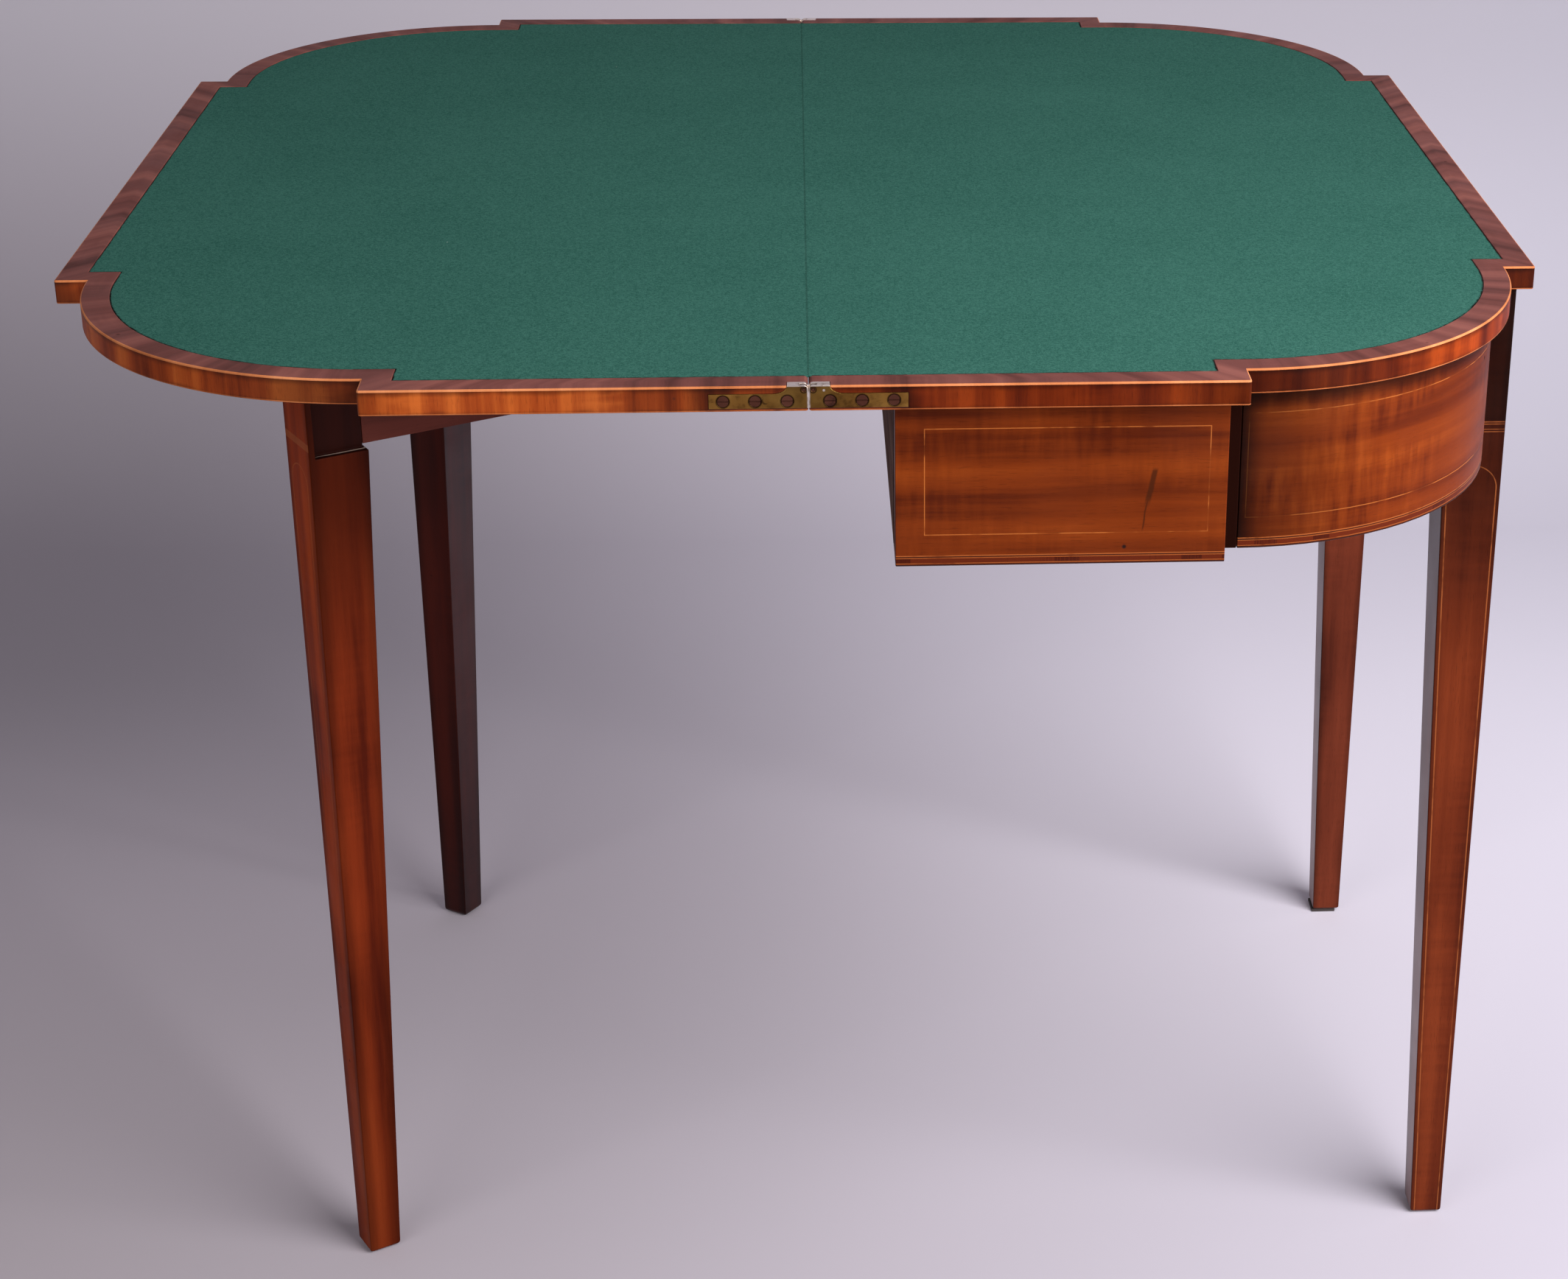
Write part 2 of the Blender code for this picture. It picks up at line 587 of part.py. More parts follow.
def glue_blocks(side, label, material):
    """Blocks rubbed into the corners between the rails and the fixed leaf."""
    z_ends = (RAIL_TOP - BLOCK_SIZE, RAIL_TOP)
    end_x = BACK_RAIL_INNER_X + (STRAIGHT_X - BACK_RAIL_INNER_X) * BLOCK_PLACE_SHARE
    end_y = END_RAIL_INNER_Y - TOUCH_GAP
    back_x = BACK_RAIL_INNER_X + TOUCH_GAP
    front_x = FRONT_RAIL_INNER_X - TOUCH_GAP
    box(f"glue_block_end_{label}", middle(end_x, BLOCK_LENGTH),
        ends(side * end_y, side * (end_y - BLOCK_SIZE)), z_ends, material)
    box(f"glue_block_back_{label}", (back_x, back_x + BLOCK_SIZE),
        middle(side * END_RAIL_INNER_Y * BLOCK_PLACE_SHARE, BLOCK_LENGTH), z_ends, material)
    box(f"glue_block_front_{label}", (front_x - BLOCK_SIZE, front_x),
        middle(side * LEG_INNER_Y * BLOCK_PLACE_SHARE, BLOCK_LENGTH), z_ends, material)


def foot_pad(material):
    """A thin leather pad that levels the far front leg."""
    centre_x = LEG_FRONT_X - FOOT_WIDTH / 2 - PAD_OFFSET
    centre_y = LEG_OUTER_Y - FOOT_WIDTH / 2
    box("foot_pad", middle(centre_x, PAD_WIDTH), middle(centre_y, PAD_WIDTH),
        (0.0, PAD_THICKNESS), material)


def finger_bands(first):
    """The heights of every second finger of the knuckle, counted from the bottom."""
    height = (ARM_TOP - ARM_BOTTOM) / FINGER_COUNT
    return [(ARM_BOTTOM + i * height, ARM_BOTTOM + (i + 1) * height)
            for i in range(first, FINGER_COUNT, 2)]


def shape_knuckle(item, label, place, own_first, other_first):
    """Sockets for the other part's fingers, then this part's own fingers and the pin hole."""
    def sockets(bm):
        for low, high in finger_bands(other_first):
            low -= CUT_OVERRUN if other_first == 0 and low <= ARM_BOTTOM else 0
            high += CUT_OVERRUN if other_first == 0 and high > ARM_TOP - FINGER_GAP else 0
            add_prism(bm, circle(*place, KNUCKLE_RADIUS + KNUCKLE_GAP, KNUCKLE_SIDES), low, high)

    def fingers(bm):
        for low, high in finger_bands(own_first):
            add_prism(bm, circle(*place, KNUCKLE_RADIUS, KNUCKLE_SIDES),
                      low + FINGER_GAP, high - FINGER_GAP)

    cut(item, new_object(f"waste_sockets_{label}", sockets))
    join(item, new_object(f"add_fingers_{label}", fingers))
    cut(item, prism(f"waste_pin_{label}", circle(*place, PIN_RADIUS + TOUCH_GAP, ROUND_SIDES),
                    RAIL_BOTTOM - CUT_OVERRUN, RAIL_TOP + CUT_OVERRUN))


def hinge_rail(material):
    """The fixed middle rail behind the carcass, with a knuckle at each end."""
    front_x = FRIEZE_BACK_X - TOUCH_GAP
    bevel_y = PIVOT_OFFSET - KNUCKLE_RADIUS - KNUCKLE_GAP
    edge_y = PIVOT_OFFSET - KNUCKLE_GAP
    outline = [(front_x, -edge_y), (front_x, edge_y), (PIVOT_X, edge_y), (HINGE_RAIL_BACK_X, bevel_y),
               (HINGE_RAIL_BACK_X, -bevel_y), (PIVOT_X, -edge_y)]
    item = prism("hinge_rail", outline, ARM_BOTTOM, ARM_TOP, material=material)
    for side, label in SIDES:
        shape_knuckle(item, f"rail_{label}", (PIVOT_X, side * PIVOT_OFFSET), 0, 1)
    cut(item, screw_holes("waste_hinge_rail_screws", rail_screw_places(),
                          rail_screw_profile(TOUCH_GAP), "X"))


def gate_pin(side, label, material):
    prism(f"gate_pin_{label}", circle(PIVOT_X, side * PIVOT_OFFSET, PIN_RADIUS),
          ARM_BOTTOM + PIN_END_INSET, ARM_TOP - PIN_END_INSET, material=material)


def gate_arm(side, label, material):
    """The swinging rail, drawn shut against the back rail, with a tenon for its leg."""
    start = PIVOT_OFFSET + KNUCKLE_GAP
    shoulder = GATE_LEG_INNER_Y + LEG_CHEEK_SET_IN - TOUCH_GAP
    outline = [(PIVOT_X, start), (HINGE_RAIL_BACK_X, start + KNUCKLE_RADIUS),
               (HINGE_RAIL_BACK_X, shoulder), (ARM_FRONT_X, shoulder), (ARM_FRONT_X, start)]
    item = prism(f"gate_arm_{label}", [(x, side * y) for x, y in outline], ARM_BOTTOM, ARM_TOP,
                 material=material)
    join(item, box(f"add_arm_tenon_{label}", middle(PIVOT_X, TENON_THICKNESS),
                   ends(side * (shoulder - TENON_SHOULDER), side * (shoulder + ARM_TENON_LENGTH)),
                   tenon_z()))
    shape_knuckle(item, f"arm_{label}", (PIVOT_X, side * PIVOT_OFFSET), 1, 0)


def gate_leg(side, label, material):
    """The gate's leg, rebated above its ledge so that it laps the frieze's back corner."""
    item = leg(f"gate_leg_{label}", GATE_LEG_BACK_X, GATE_LEG_FRONT_X, side * GATE_LEG_OUTER_Y,
               side * GATE_LEG_INNER_Y, 0.0, RAIL_TOP, material)
    upper = (RAIL_BOTTOM - LEDGE_DROP, RAIL_TOP + CUT_OVERRUN)
    cheek_y = GATE_LEG_INNER_Y + LEG_CHEEK_SET_IN
    cut(item, box(f"waste_rebate_{label}", (ARM_FRONT_X, GATE_LEG_FRONT_X + CUT_OVERRUN),
                  ends(side * (END_PANEL_OUTER_Y + REBATE_CLEARANCE),
                       side * (GATE_LEG_INNER_Y - CUT_OVERRUN)), upper))
    cut(item, box(f"waste_cheek_{label}", (GATE_LEG_BACK_X - CUT_OVERRUN, GATE_LEG_FRONT_X),
                  ends(side * cheek_y, side * (GATE_LEG_INNER_Y - CUT_OVERRUN)), upper))
    cut(item, box(f"waste_arm_mortise_{label}", middle(PIVOT_X, TENON_THICKNESS, TOUCH_GAP),
                  ends(side * (cheek_y - CUT_OVERRUN), side * (cheek_y + ARM_TENON_LENGTH)),
                  tenon_z(TOUCH_GAP)))


def carry(empty_name, place, builders, turn_degrees=0.0):
    """Build a moving body's pieces, and parent them to an empty on the body's joint axis."""
    before = set(bpy.data.objects)
    for builder, *values in builders:
        builder(*values)
    pieces = [item for item in bpy.data.objects if item not in before]
    empty = bpy.data.objects.new(empty_name, None)
    bpy.context.scene.collection.objects.link(empty)
    empty.location = place
    for item in pieces:
        item.data.transform(Matrix.Translation(-Vector(place)))
        item.parent = empty
    empty.rotation_euler.z = math.radians(turn_degrees)


def dress_leaf(prefix, hand, seam_tool):
    """A leaf with its cloth and both of its hinge plates."""
    item = leaf(f"{prefix}_leaf", hand, seam_tool, MAHOGANY)
    baize(f"{prefix}_baize", hand, seam_tool, BAIZE)
    for side, label in SIDES:
        hinge_plate(f"hinge_plate_{prefix}_{label}", hand, side, seam_tool, BRASS)
        hinge_screws(f"hinge_screw_{prefix}_{label}", hand, side, IRON)
    return item


for old in list(bpy.data.objects):
    bpy.data.objects.remove(old, do_unlink=True)

MAHOGANY = new_material("mahogany", (0.24, 0.062, 0.022), 0.35)
CARCASS_PINE = new_material("carcass_pine", (0.42, 0.26, 0.13), 0.7)
BEECH = new_material("gate_beech", (0.12, 0.035, 0.02), 0.5)
BAIZE = new_material("baize", (0.03, 0.13, 0.085), 0.95)
BRASS = new_material("brass", (0.42, 0.33, 0.14), 0.4, 1.0)
IRON = new_material("iron", (0.16, 0.10, 0.08), 0.5, 1.0)
LEATHER = new_material("leather", (0.03, 0.02, 0.015), 0.8)

fixed_leaf = dress_leaf("fixed", 1, seam_waste(1))
bearer = bearer_shape("bearer", 0.0, CARCASS_PINE)
for item in (fixed_leaf, bearer):
    cut(item, screw_holes(f"waste_screws_{item.name}", leaf_screw_places(),
                          leaf_screw_profile(TOUCH_GAP), "Z"))
leaf_screws(IRON)
front_rail(MAHOGANY)
back_rail(CARCASS_PINE)
hinge_rail(BEECH)
rail_screws(IRON)
foot_pad(LEATHER)
for side, label in SIDES:
    front_leg(side, label, MAHOGANY)
    corner_rail(side, label, MAHOGANY)
    end_rail(side, label, CARCASS_PINE)
    end_panel(side, label, MAHOGANY)
    gate_pin(side, label, IRON)
    glue_blocks(side, label, CARCASS_PINE)

LINK_Z = TABLE_HEIGHT - LINK_PIN_DROP
carry("link_axis", (LINK_PIN_INSET, 0.0, LINK_Z),
      [(hinge_link, f"hinge_link_{label}", side, BRASS) for side, label in SIDES]
      + [(hinge_pin, f"hinge_pin_{prefix}_{label}", hand, side, BRASS)
         for side, label in SIDES for hand, prefix in ((1, "fixed"), (-1, "folding"))])
carry("leaf_axis", (-LINK_PIN_INSET, 0.0, LINK_Z),
      [(lambda: dress_leaf("folding", -1, seam_waste(-1)),)])
for side, label, turn in ((-1, "near", -NEAR_GATE_DEGREES), (1, "far", FAR_GATE_DEGREES)):
    carry(f"gate_axis_{label}", (PIVOT_X, side * PIVOT_OFFSET, ARM_BOTTOM),
          [(gate_arm, side, label, BEECH), (gate_leg, side, label, MAHOGANY)], turn)
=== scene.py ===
import json
import math

import bmesh
import bpy
import numpy as np
from mathutils import Matrix, Vector

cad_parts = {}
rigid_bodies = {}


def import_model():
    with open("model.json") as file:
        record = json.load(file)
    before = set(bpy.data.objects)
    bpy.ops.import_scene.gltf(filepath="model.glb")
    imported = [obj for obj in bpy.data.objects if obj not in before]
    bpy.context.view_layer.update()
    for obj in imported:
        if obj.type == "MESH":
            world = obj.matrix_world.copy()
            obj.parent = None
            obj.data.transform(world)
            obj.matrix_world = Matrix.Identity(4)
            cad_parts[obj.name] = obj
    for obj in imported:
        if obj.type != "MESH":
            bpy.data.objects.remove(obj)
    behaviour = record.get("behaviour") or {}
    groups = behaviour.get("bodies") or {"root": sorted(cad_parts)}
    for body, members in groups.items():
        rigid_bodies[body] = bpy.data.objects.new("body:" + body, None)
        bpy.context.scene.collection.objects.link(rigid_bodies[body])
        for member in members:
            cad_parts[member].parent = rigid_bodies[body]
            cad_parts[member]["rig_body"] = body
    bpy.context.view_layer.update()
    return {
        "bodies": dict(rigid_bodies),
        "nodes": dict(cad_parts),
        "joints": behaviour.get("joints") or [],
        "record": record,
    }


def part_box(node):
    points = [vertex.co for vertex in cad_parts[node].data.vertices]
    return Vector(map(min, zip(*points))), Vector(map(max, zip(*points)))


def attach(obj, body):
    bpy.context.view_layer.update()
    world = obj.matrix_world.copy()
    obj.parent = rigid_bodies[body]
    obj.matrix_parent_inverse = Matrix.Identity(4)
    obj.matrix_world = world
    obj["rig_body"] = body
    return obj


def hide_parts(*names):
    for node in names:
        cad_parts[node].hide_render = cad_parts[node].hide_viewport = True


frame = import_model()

nodes = frame["nodes"]

# Studio
# The table stands on one sheet of pale lilac-grey paper, which lies along the floor and curves
# up behind it. Two large soft lamps light it, one from each side of the camera.


def feed(sockets, values):
    """Fill sockets, by name or number, with values, or with links from other sockets."""
    for key, value in dict(values).items():
        socket = sockets[key]
        if isinstance(value, bpy.types.NodeSocket):
            socket.id_data.links.new(value, socket)
        else:
            socket.default_value = (*value, 1.0) if socket.type == "RGBA" else value


def node(kind, inputs=(), tree=None, **settings):
    """Add a shader node to a tree, or to the tree of the sockets that feed it."""
    inputs = dict(inputs)
    if tree is None:
        tree = next(value.id_data for value in inputs.values()
                    if isinstance(value, bpy.types.NodeSocket))
    made = tree.nodes.new("ShaderNode" + kind)
    for name, value in settings.items():
        setattr(made, name, value)
    feed(made.inputs, inputs)
    return made


def maths(operation, *values, clamp=False):
    """One Math node's result."""
    return node("Math", dict(enumerate(values)), operation=operation,
                use_clamp=clamp).outputs[0]


def times(*values):
    """The product of several values."""
    product = values[0]
    for value in values[1:]:
        product = maths("MULTIPLY", product, value)
    return product


def ramped(value, low, high, start=0.0, end=1.0):
    """A smooth step of a value from low to high, put out from start to end."""
    return node("MapRange", {"Value": value, "From Min": low, "From Max": high,
                                       "To Min": start, "To Max": end},
                interpolation_type="SMOOTHSTEP").outputs[0]


def mixed(share, first, second, blend_type="MIX"):
    """A colour between two colours, or one blended on the other."""
    return node("Mix", {"Factor": share, 6: first, 7: second}, data_type="RGBA",
                blend_type=blend_type).outputs[2]


def split(vector):
    """A vector's X, Y and Z."""
    return node("SeparateXYZ", {0: vector}).outputs


def distance(point, other):
    """How far apart two points are."""
    return node("VectorMath", {0: point, 1: other},
                operation="DISTANCE").outputs["Value"]


def new_material(name):
    """An empty Principled material, its shader and its Object coordinates."""
    material = bpy.data.materials.new(name)
    material.use_nodes = True
    tree = material.node_tree
    return (material, tree.nodes["Principled BSDF"],
            node("TexCoord", tree=tree).outputs["Object"])


def grid_faces(rows, columns):
    """The quads of a grid of points that is stored row by row."""
    i, j = np.meshgrid(np.arange(rows - 1), np.arange(columns - 1), indexing="ij")
    corner = (i * columns + j).ravel()
    return np.stack([corner, corner + 1, corner + columns + 1, corner + columns], 1)


def plain_mesh(name, points, faces):
    """An object in the scene with these points and faces."""
    mesh = bpy.data.meshes.new(name)
    mesh.from_pydata(np.asarray(points, float).reshape(-1, 3).tolist(), [],
                     [list(map(int, face)) for face in faces])
    item = bpy.data.objects.new(name, mesh)
    bpy.context.scene.collection.objects.link(item)
    return item


# The paper's section is a straight floor, a quarter circle and a straight rise.
SWEEP_START, SWEEP_RADIUS, SWEEP_TOP, PAPER_HALF = 1.1, 0.9, 3.4, 12.0
FLOOR_ROWS, SWEEP_ROWS, PAPER_COLUMNS = 12, 25, 9
ROOM_GREY = (0.43, 0.41, 0.46)
turn = np.radians(np.linspace(0, 90, SWEEP_ROWS))
paper_y = np.r_[np.linspace(-PAPER_HALF, SWEEP_START, FLOOR_ROWS),
                SWEEP_START + SWEEP_RADIUS * np.sin(turn), SWEEP_START + SWEEP_RADIUS]
paper_z = np.r_[np.zeros(FLOOR_ROWS), SWEEP_RADIUS * (1 - np.cos(turn)), SWEEP_TOP]
paper_x = np.linspace(-PAPER_HALF, PAPER_HALF, PAPER_COLUMNS)
points = np.stack(np.broadcast_arrays(paper_x, paper_y[:, None], paper_z[:, None]), -1)
paper = plain_mesh("studio_paper", points, grid_faces(len(paper_y), PAPER_COLUMNS))
paper.data.shade_smooth()
material, shader, place = new_material("studio_paper")
tree = material.node_tree
x, y, z = split(place)
# Painted light and shade on the paper: its colour is darker at the front and on the left, lighter
# behind the table and on the right, and has tones of its own up the wall.
across = ramped(x, -0.9, 1.1)
near = mixed(across, (0.38, 0.34, 0.37), (0.53, 0.505, 0.59))
back = mixed(across, (0.62, 0.565, 0.63), (0.80, 0.77, 0.875))
high = mixed(ramped(x, 0.1, 1.7), (0.60, 0.565, 0.625), (0.71, 0.69, 0.79))
colour = mixed(ramped(y, -0.35, 0.75), near, back)
colour = mixed(ramped(z, 0.10, 0.45), colour, high)
# A painted shadow of the table, darkening the paper low down behind it on the left.
painted_table_shadow = times(ramped(y, 0.2, 0.8), ramped(z, 0.5, 0.0), ramped(x, 0.2, -0.8), 0.36)
feed(shader.inputs, {"Base Color": mixed(painted_table_shadow, colour, (0, 0, 0)), "Roughness": 0.95,
                     "Specular IOR Level": 0.1})
# Seen from behind or below, the paper lets the camera through to the table, and far off it
# fades into the same pale grey as the room beyond its edge.
seen = node("LightPath", tree=tree).outputs["Is Camera Ray"]
behind = node("NewGeometry", tree=tree).outputs["Backfacing"]
far_off = ramped(distance(place, (0.1, 0.6, 0.4)), 2.0, 3.2)
pale = node("Emission", {"Color": ROOM_GREY}, tree)
sheer = node("BsdfTransparent", tree=tree)
paper_or_room = node("MixShader", {
    0: times(far_off, seen), 1: shader.outputs[0], 2: pale.outputs[0]})
surface = node("MixShader", {
    0: times(behind, seen), 1: paper_or_room.outputs[0], 2: sheer.outputs[0]})
feed(tree.nodes["Material Output"].inputs, {"Surface": surface.outputs[0]})
paper.data.materials.append(material)


def lamp(name, place, aim, size, watts, colour, spread):
    """A square soft lamp that faces the aim, with a grid that narrows its beam to a spread."""
    light = bpy.data.lights.new(name, "AREA")
    light.shape, light.size, light.energy, light.color = "SQUARE", size, watts, colour
    light.spread = math.radians(spread)
    item = bpy.data.objects.new(name, light)
    bpy.context.scene.collection.objects.link(item)
    item.location = place
    item.rotation_euler = (Vector(aim) - Vector(place)).to_track_quat("-Z", "Y").to_euler()


lamp("right_softbox", place=(1.25, -1.15, 1.45), aim=(0.2, 0.0, 0.5), size=1.6, watts=48.5,
     colour=(1.0, 0.98, 0.98), spread=140)
lamp("left_softbox", place=(-1.5, -2.2, 1.4), aim=(-0.1, -0.2, 0.4), size=1.8, watts=24,
     colour=(1.0, 0.97, 0.95), spread=180)
world = bpy.data.worlds.new("studio")
world.use_nodes = True
seen = node("LightPath", tree=world.node_tree).outputs["Is Camera Ray"]
feed(world.node_tree.nodes["Background"].inputs, {
    "Color": mixed(seen, (0.195, 0.193, 0.21), ROOM_GREY)})
bpy.context.scene.world = world
bpy.context.scene.view_settings.view_transform = "Standard"

# The camera stands back from the middle of the near end, and looks down over the top.
PICTURE_WIDTH, PICTURE_HEIGHT = 2128, 1736
FOCAL_PIXELS, AXIS_X, AXIS_Y, SENSOR_WIDTH = 4085.4, 1364.0, 856.0, 36.0
CAMERA_PLACE = (-0.0013, -2.0636, 1.2916)
pitch, yaw, roll = np.radians([24.009, 4.053, 0.6634])
ahead = Vector((math.sin(yaw) * math.cos(pitch), math.cos(yaw) * math.cos(pitch),
                -math.sin(pitch)))
level = Vector((math.cos(yaw), -math.sin(yaw), 0.0))
upright = level.cross(ahead)
right = math.cos(roll) * level + math.sin(roll) * upright
up = math.cos(roll) * upright - math.sin(roll) * level
camera = bpy.data.objects.new("camera", bpy.data.cameras.new("camera"))
bpy.context.scene.collection.objects.link(camera)
camera.data.sensor_width = SENSOR_WIDTH
camera.data.lens = FOCAL_PIXELS * SENSOR_WIDTH / PICTURE_WIDTH
camera.data.shift_x = (PICTURE_WIDTH / 2 - AXIS_X) / PICTURE_WIDTH
camera.data.shift_y = (AXIS_Y - PICTURE_HEIGHT / 2) / PICTURE_WIDTH
camera.matrix_world = Matrix.Translation(CAMERA_PLACE) @ Matrix(
    (right, up, -ahead)).transposed().to_4x4()
bpy.context.scene.camera = camera

# The two leaves
# Each leaf is a mahogany board with a cross-banded border and a cross-banded edge. Boxwood
# strings are let into its arrises, and its middle is sunk for the cloth.
ALONG_X, ALONG_Y, UPRIGHT = (0, 0, 0), (0, 0, math.pi / 2), (0, math.pi / 2, 0)


def noise(vector, scale, detail=2.0, roughness=0.5):
    """Cloudy noise about one half."""
    return node("TexNoise", {"Vector": vector, "Scale": scale, "Detail": detail,
                                       "Roughness": roughness}).outputs["Fac"]


def stretched(vector, scale=(1, 1, 1), turn=ALONG_X):
    """Coordinates stretched, then turned, by a Mapping node."""
    return node("Mapping", {"Vector": vector, "Rotation": turn,
                                      "Scale": scale}).outputs[0]


def streaked(vector, scale, detail=2.0, roughness=0.5, turn=ALONG_X):
    """Noise that is drawn out along some axes."""
    return noise(stretched(vector, scale, turn), 1.0, detail, roughness)


def about(value, amount, base):
    """Base plus the amount times how far the value is from one half."""
    return maths("MULTIPLY_ADD", maths("SUBTRACT", value, 0.5), amount, base)


def apart(value, other):
    """How far apart two values are."""
    return maths("ABSOLUTE", maths("SUBTRACT", value, other))


def chance(cells):
    """A random value for each cell of a Voronoi texture."""
    return node("SeparateColor", {0: cells["Color"]}).outputs[0]


def dimmed(lit, colour):
    """A colour multiplied by a value."""
    grey = node("CombineColor", {0: lit, 1: lit, 2: lit}).outputs[0]
    return mixed(1.0, colour, grey, "MULTIPLY")


def bumped(height, strength, depth, normal=None):
    """A bumped normal, laid over another one where there is one."""
    inputs = {"Strength": strength, "Distance": depth, "Height": height}
    if normal is not None:
        inputs["Normal"] = normal
    return node("Bump", inputs).outputs[0]


def on_map(place, name):
    """The values of a piece's own UV map, in the tree of its coordinates."""
    return split(node("UVMap", tree=place.id_data, uv_map=name).outputs[0])


def shader_group(name, inputs, outputs):
    """A shader node group with named sockets, its entry and its exit."""
    tree = bpy.data.node_groups.new(name, "ShaderNodeTree")
    kinds = {"vector": "NodeSocketVector", "colour": "NodeSocketColor", "value": "NodeSocketFloat"}
    for direction, sockets in (("INPUT", inputs), ("OUTPUT", outputs)):
        for socket, kind in sockets.items():
            tree.interface.new_socket(socket, in_out=direction, socket_type=kinds[kind])
    entry = tree.nodes.new("NodeGroupInput").outputs
    return tree, entry, tree.nodes.new("NodeGroupOutput").inputs


def use_group(group, **inputs):
    """Place a group, with underscores in place of the spaces in its sockets' names."""
    inputs = {name.replace("_", " "): value for name, value in inputs.items()}
    return node("Group", inputs, node_tree=group).outputs


# Wood figure: X runs along the grain in metres. Long soft streaks, fine lines and a cloudy
# tone set the colour, ripples cross the grain in patches, and short dark pores lie along it.
wood_figure, entry, leave = shader_group(
    "wood_figure",
    {"Grain": "vector", "Pale": "colour", "Middle": "colour", "Dark": "colour",
     "Streak": "value", "Ripple": "value", "Pores": "value"},
    {"Color": "colour", "Height": "value"})
grain = entry["Grain"]
streak = streaked(grain, (2.6, 58, 58), 4.0, 0.48)
cloud = streaked(grain, (7, 11, 11))
lines = streaked(grain, (16, 480, 480), 3.0, 0.6)
ripple = streaked(grain, (150, 20, 20), 3.0, 0.55)
patch = ramped(streaked(grain, (9, 24, 24), 1.0), 0.4, 0.62)
pores = times(ramped(streaked(grain, (130, 1900, 1900), 1.0), 0.6, 0.74), entry["Pores"])
tone = about(cloud, 0.65, 0.5)
tone = about(streak, entry["Streak"], tone)
tone = about(lines, times(entry["Streak"], 0.18), tone)
tone = about(ripple, times(entry["Ripple"], patch), tone)
colour = mixed(ramped(tone, 0.22, 0.52), entry["Dark"], entry["Middle"])
colour = mixed(ramped(tone, 0.46, 0.80), colour, entry["Pale"])
feed(leave, {"Color": mixed(pores, colour, mixed(0.75, entry["Dark"], (0, 0, 0))),
             "Height": maths("SUBTRACT", times(streak, 0.3), pores)})

# Old polish: a little duller in patches, with small knocks and specks of dirt.
old_polish, entry, leave = shader_group(
    "old_polish", {"Place": "vector", "Color": "colour", "Roughness": "value", "Dirt": "value"},
    {"Color": "colour", "Roughness": "value", "Height": "value"})
rubbed = noise(entry["Place"], 18.0, 4.0, 0.6)
cells = node("TexVoronoi", {"Vector": entry["Place"], "Scale": 55.0}).outputs
knock = times(ramped(cells["Distance"], 0.10, 0.03), ramped(chance(cells), 0.80, 0.86),
              entry["Dirt"])
feed(leave, {"Color": mixed(knock, entry["Color"], (0.012, 0.004, 0.003)),
             "Roughness": maths("ADD", ramped(rubbed, 0.3, 0.75, -0.05, 0.10),
                                maths("MULTIPLY_ADD", knock, 0.3, entry["Roughness"])),
             "Height": maths("MULTIPLY_ADD", knock, -1.0, times(rubbed, 0.4))})


def wood(name, pale, middle, dark, turn=None, streak=1.0, ripple=0.4, pores=0.25,
         roughness=0.40, dirt=1.0, shine=0.08, glance=None, inlay=None, bump=0.12):
    """A polished wood. The grain follows a UV map, or the Object coordinates after a turn.
    An inlay function may lay lines and bands over the figure's colour. Glance says between
    which angles of view the shine rises, and how far."""
    material, shader, place = new_material(name)
    if turn is None:
        along = node("UVMap", tree=material.node_tree, uv_map="grain").outputs[0]
    else:
        along = stretched(place, turn=turn)
    figure = use_group(wood_figure, Grain=along, Pale=pale, Middle=middle, Dark=dark,
                       Streak=streak, Ripple=ripple, Pores=pores)
    colour = inlay(place, figure["Color"]) if inlay else figure["Color"]
    polish = use_group(old_polish, Place=place, Color=colour, Roughness=roughness, Dirt=dirt)
    normal = bumped(figure["Height"], bump, 0.0002)
    feed(shader.inputs, {
        "Base Color": polish["Color"], "Roughness": polish["Roughness"],
        "Specular IOR Level": shine, "Normal": bumped(polish["Height"], 0.25, 0.0004, normal)})
    if glance:
        low, high, most = glance
        facing = node("LayerWeight", {"Blend": 0.5}, material.node_tree)
        feed(shader.inputs, {"Specular IOR Level": ramped(
            facing.outputs["Facing"], low, high, shine, most)})
    return material


def read_array(items, attribute, width=1, kind=np.float32):
    """An attribute of a mesh's vertices, corners or faces, as an array."""
    values = np.zeros(len(items) * width, kind)
    items.foreach_get(attribute, values)
    return values.reshape(-1, width) if width > 1 else values


def skin(item, maps, bands, materials):
    """Give a mesh its UV maps, which hold one place for each vertex, and its materials."""
    mesh = item.data
    corner = read_array(mesh.loops, "vertex_index", kind=np.int32)
    for name, values in maps.items():
        layer = mesh.uv_layers.new(name=name)
        layer.data.foreach_set("uv", np.asarray(values, np.float32).reshape(-1, 2)[corner].ravel())
    mesh.polygons.foreach_set("material_index", np.asarray(bands, np.int32))
    for material in materials:
        mesh.materials.append(material)


def settle(item, body, replaced, sharp=35.0):
    """Smooth a finished piece between its arrises, and put it on its body."""
    item.data.shade_smooth()
    item.data.set_sharp_from_angle(angle=math.radians(sharp))
    item.modifiers.new("weighted_normals", "WEIGHTED_NORMAL").keep_sharp = True
    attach(item, body)
    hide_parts(*replaced)


MERGE, EMPTY_FACE = 2e-6, 1e-7


def close(mesh):
    """Merge doubles, drop empty faces and point the rest outwards."""
    bm = bmesh.new()
    bm.from_mesh(mesh)
    bmesh.ops.remove_doubles(bm, verts=bm.verts, dist=MERGE)
    bmesh.ops.dissolve_degenerate(bm, dist=EMPTY_FACE, edges=bm.edges)
    bmesh.ops.recalc_face_normals(bm, faces=bm.faces)
    bm.to_mesh(mesh)
    bm.free()


def freeze(item):
    """Make what an object's modifiers show its own mesh, and take the modifiers away."""
    shown = item.evaluated_get(bpy.context.evaluated_depsgraph_get())
    old, item.data = item.data, bpy.data.meshes.new_from_object(shown)
    item.modifiers.clear()
    bpy.data.meshes.remove(old)


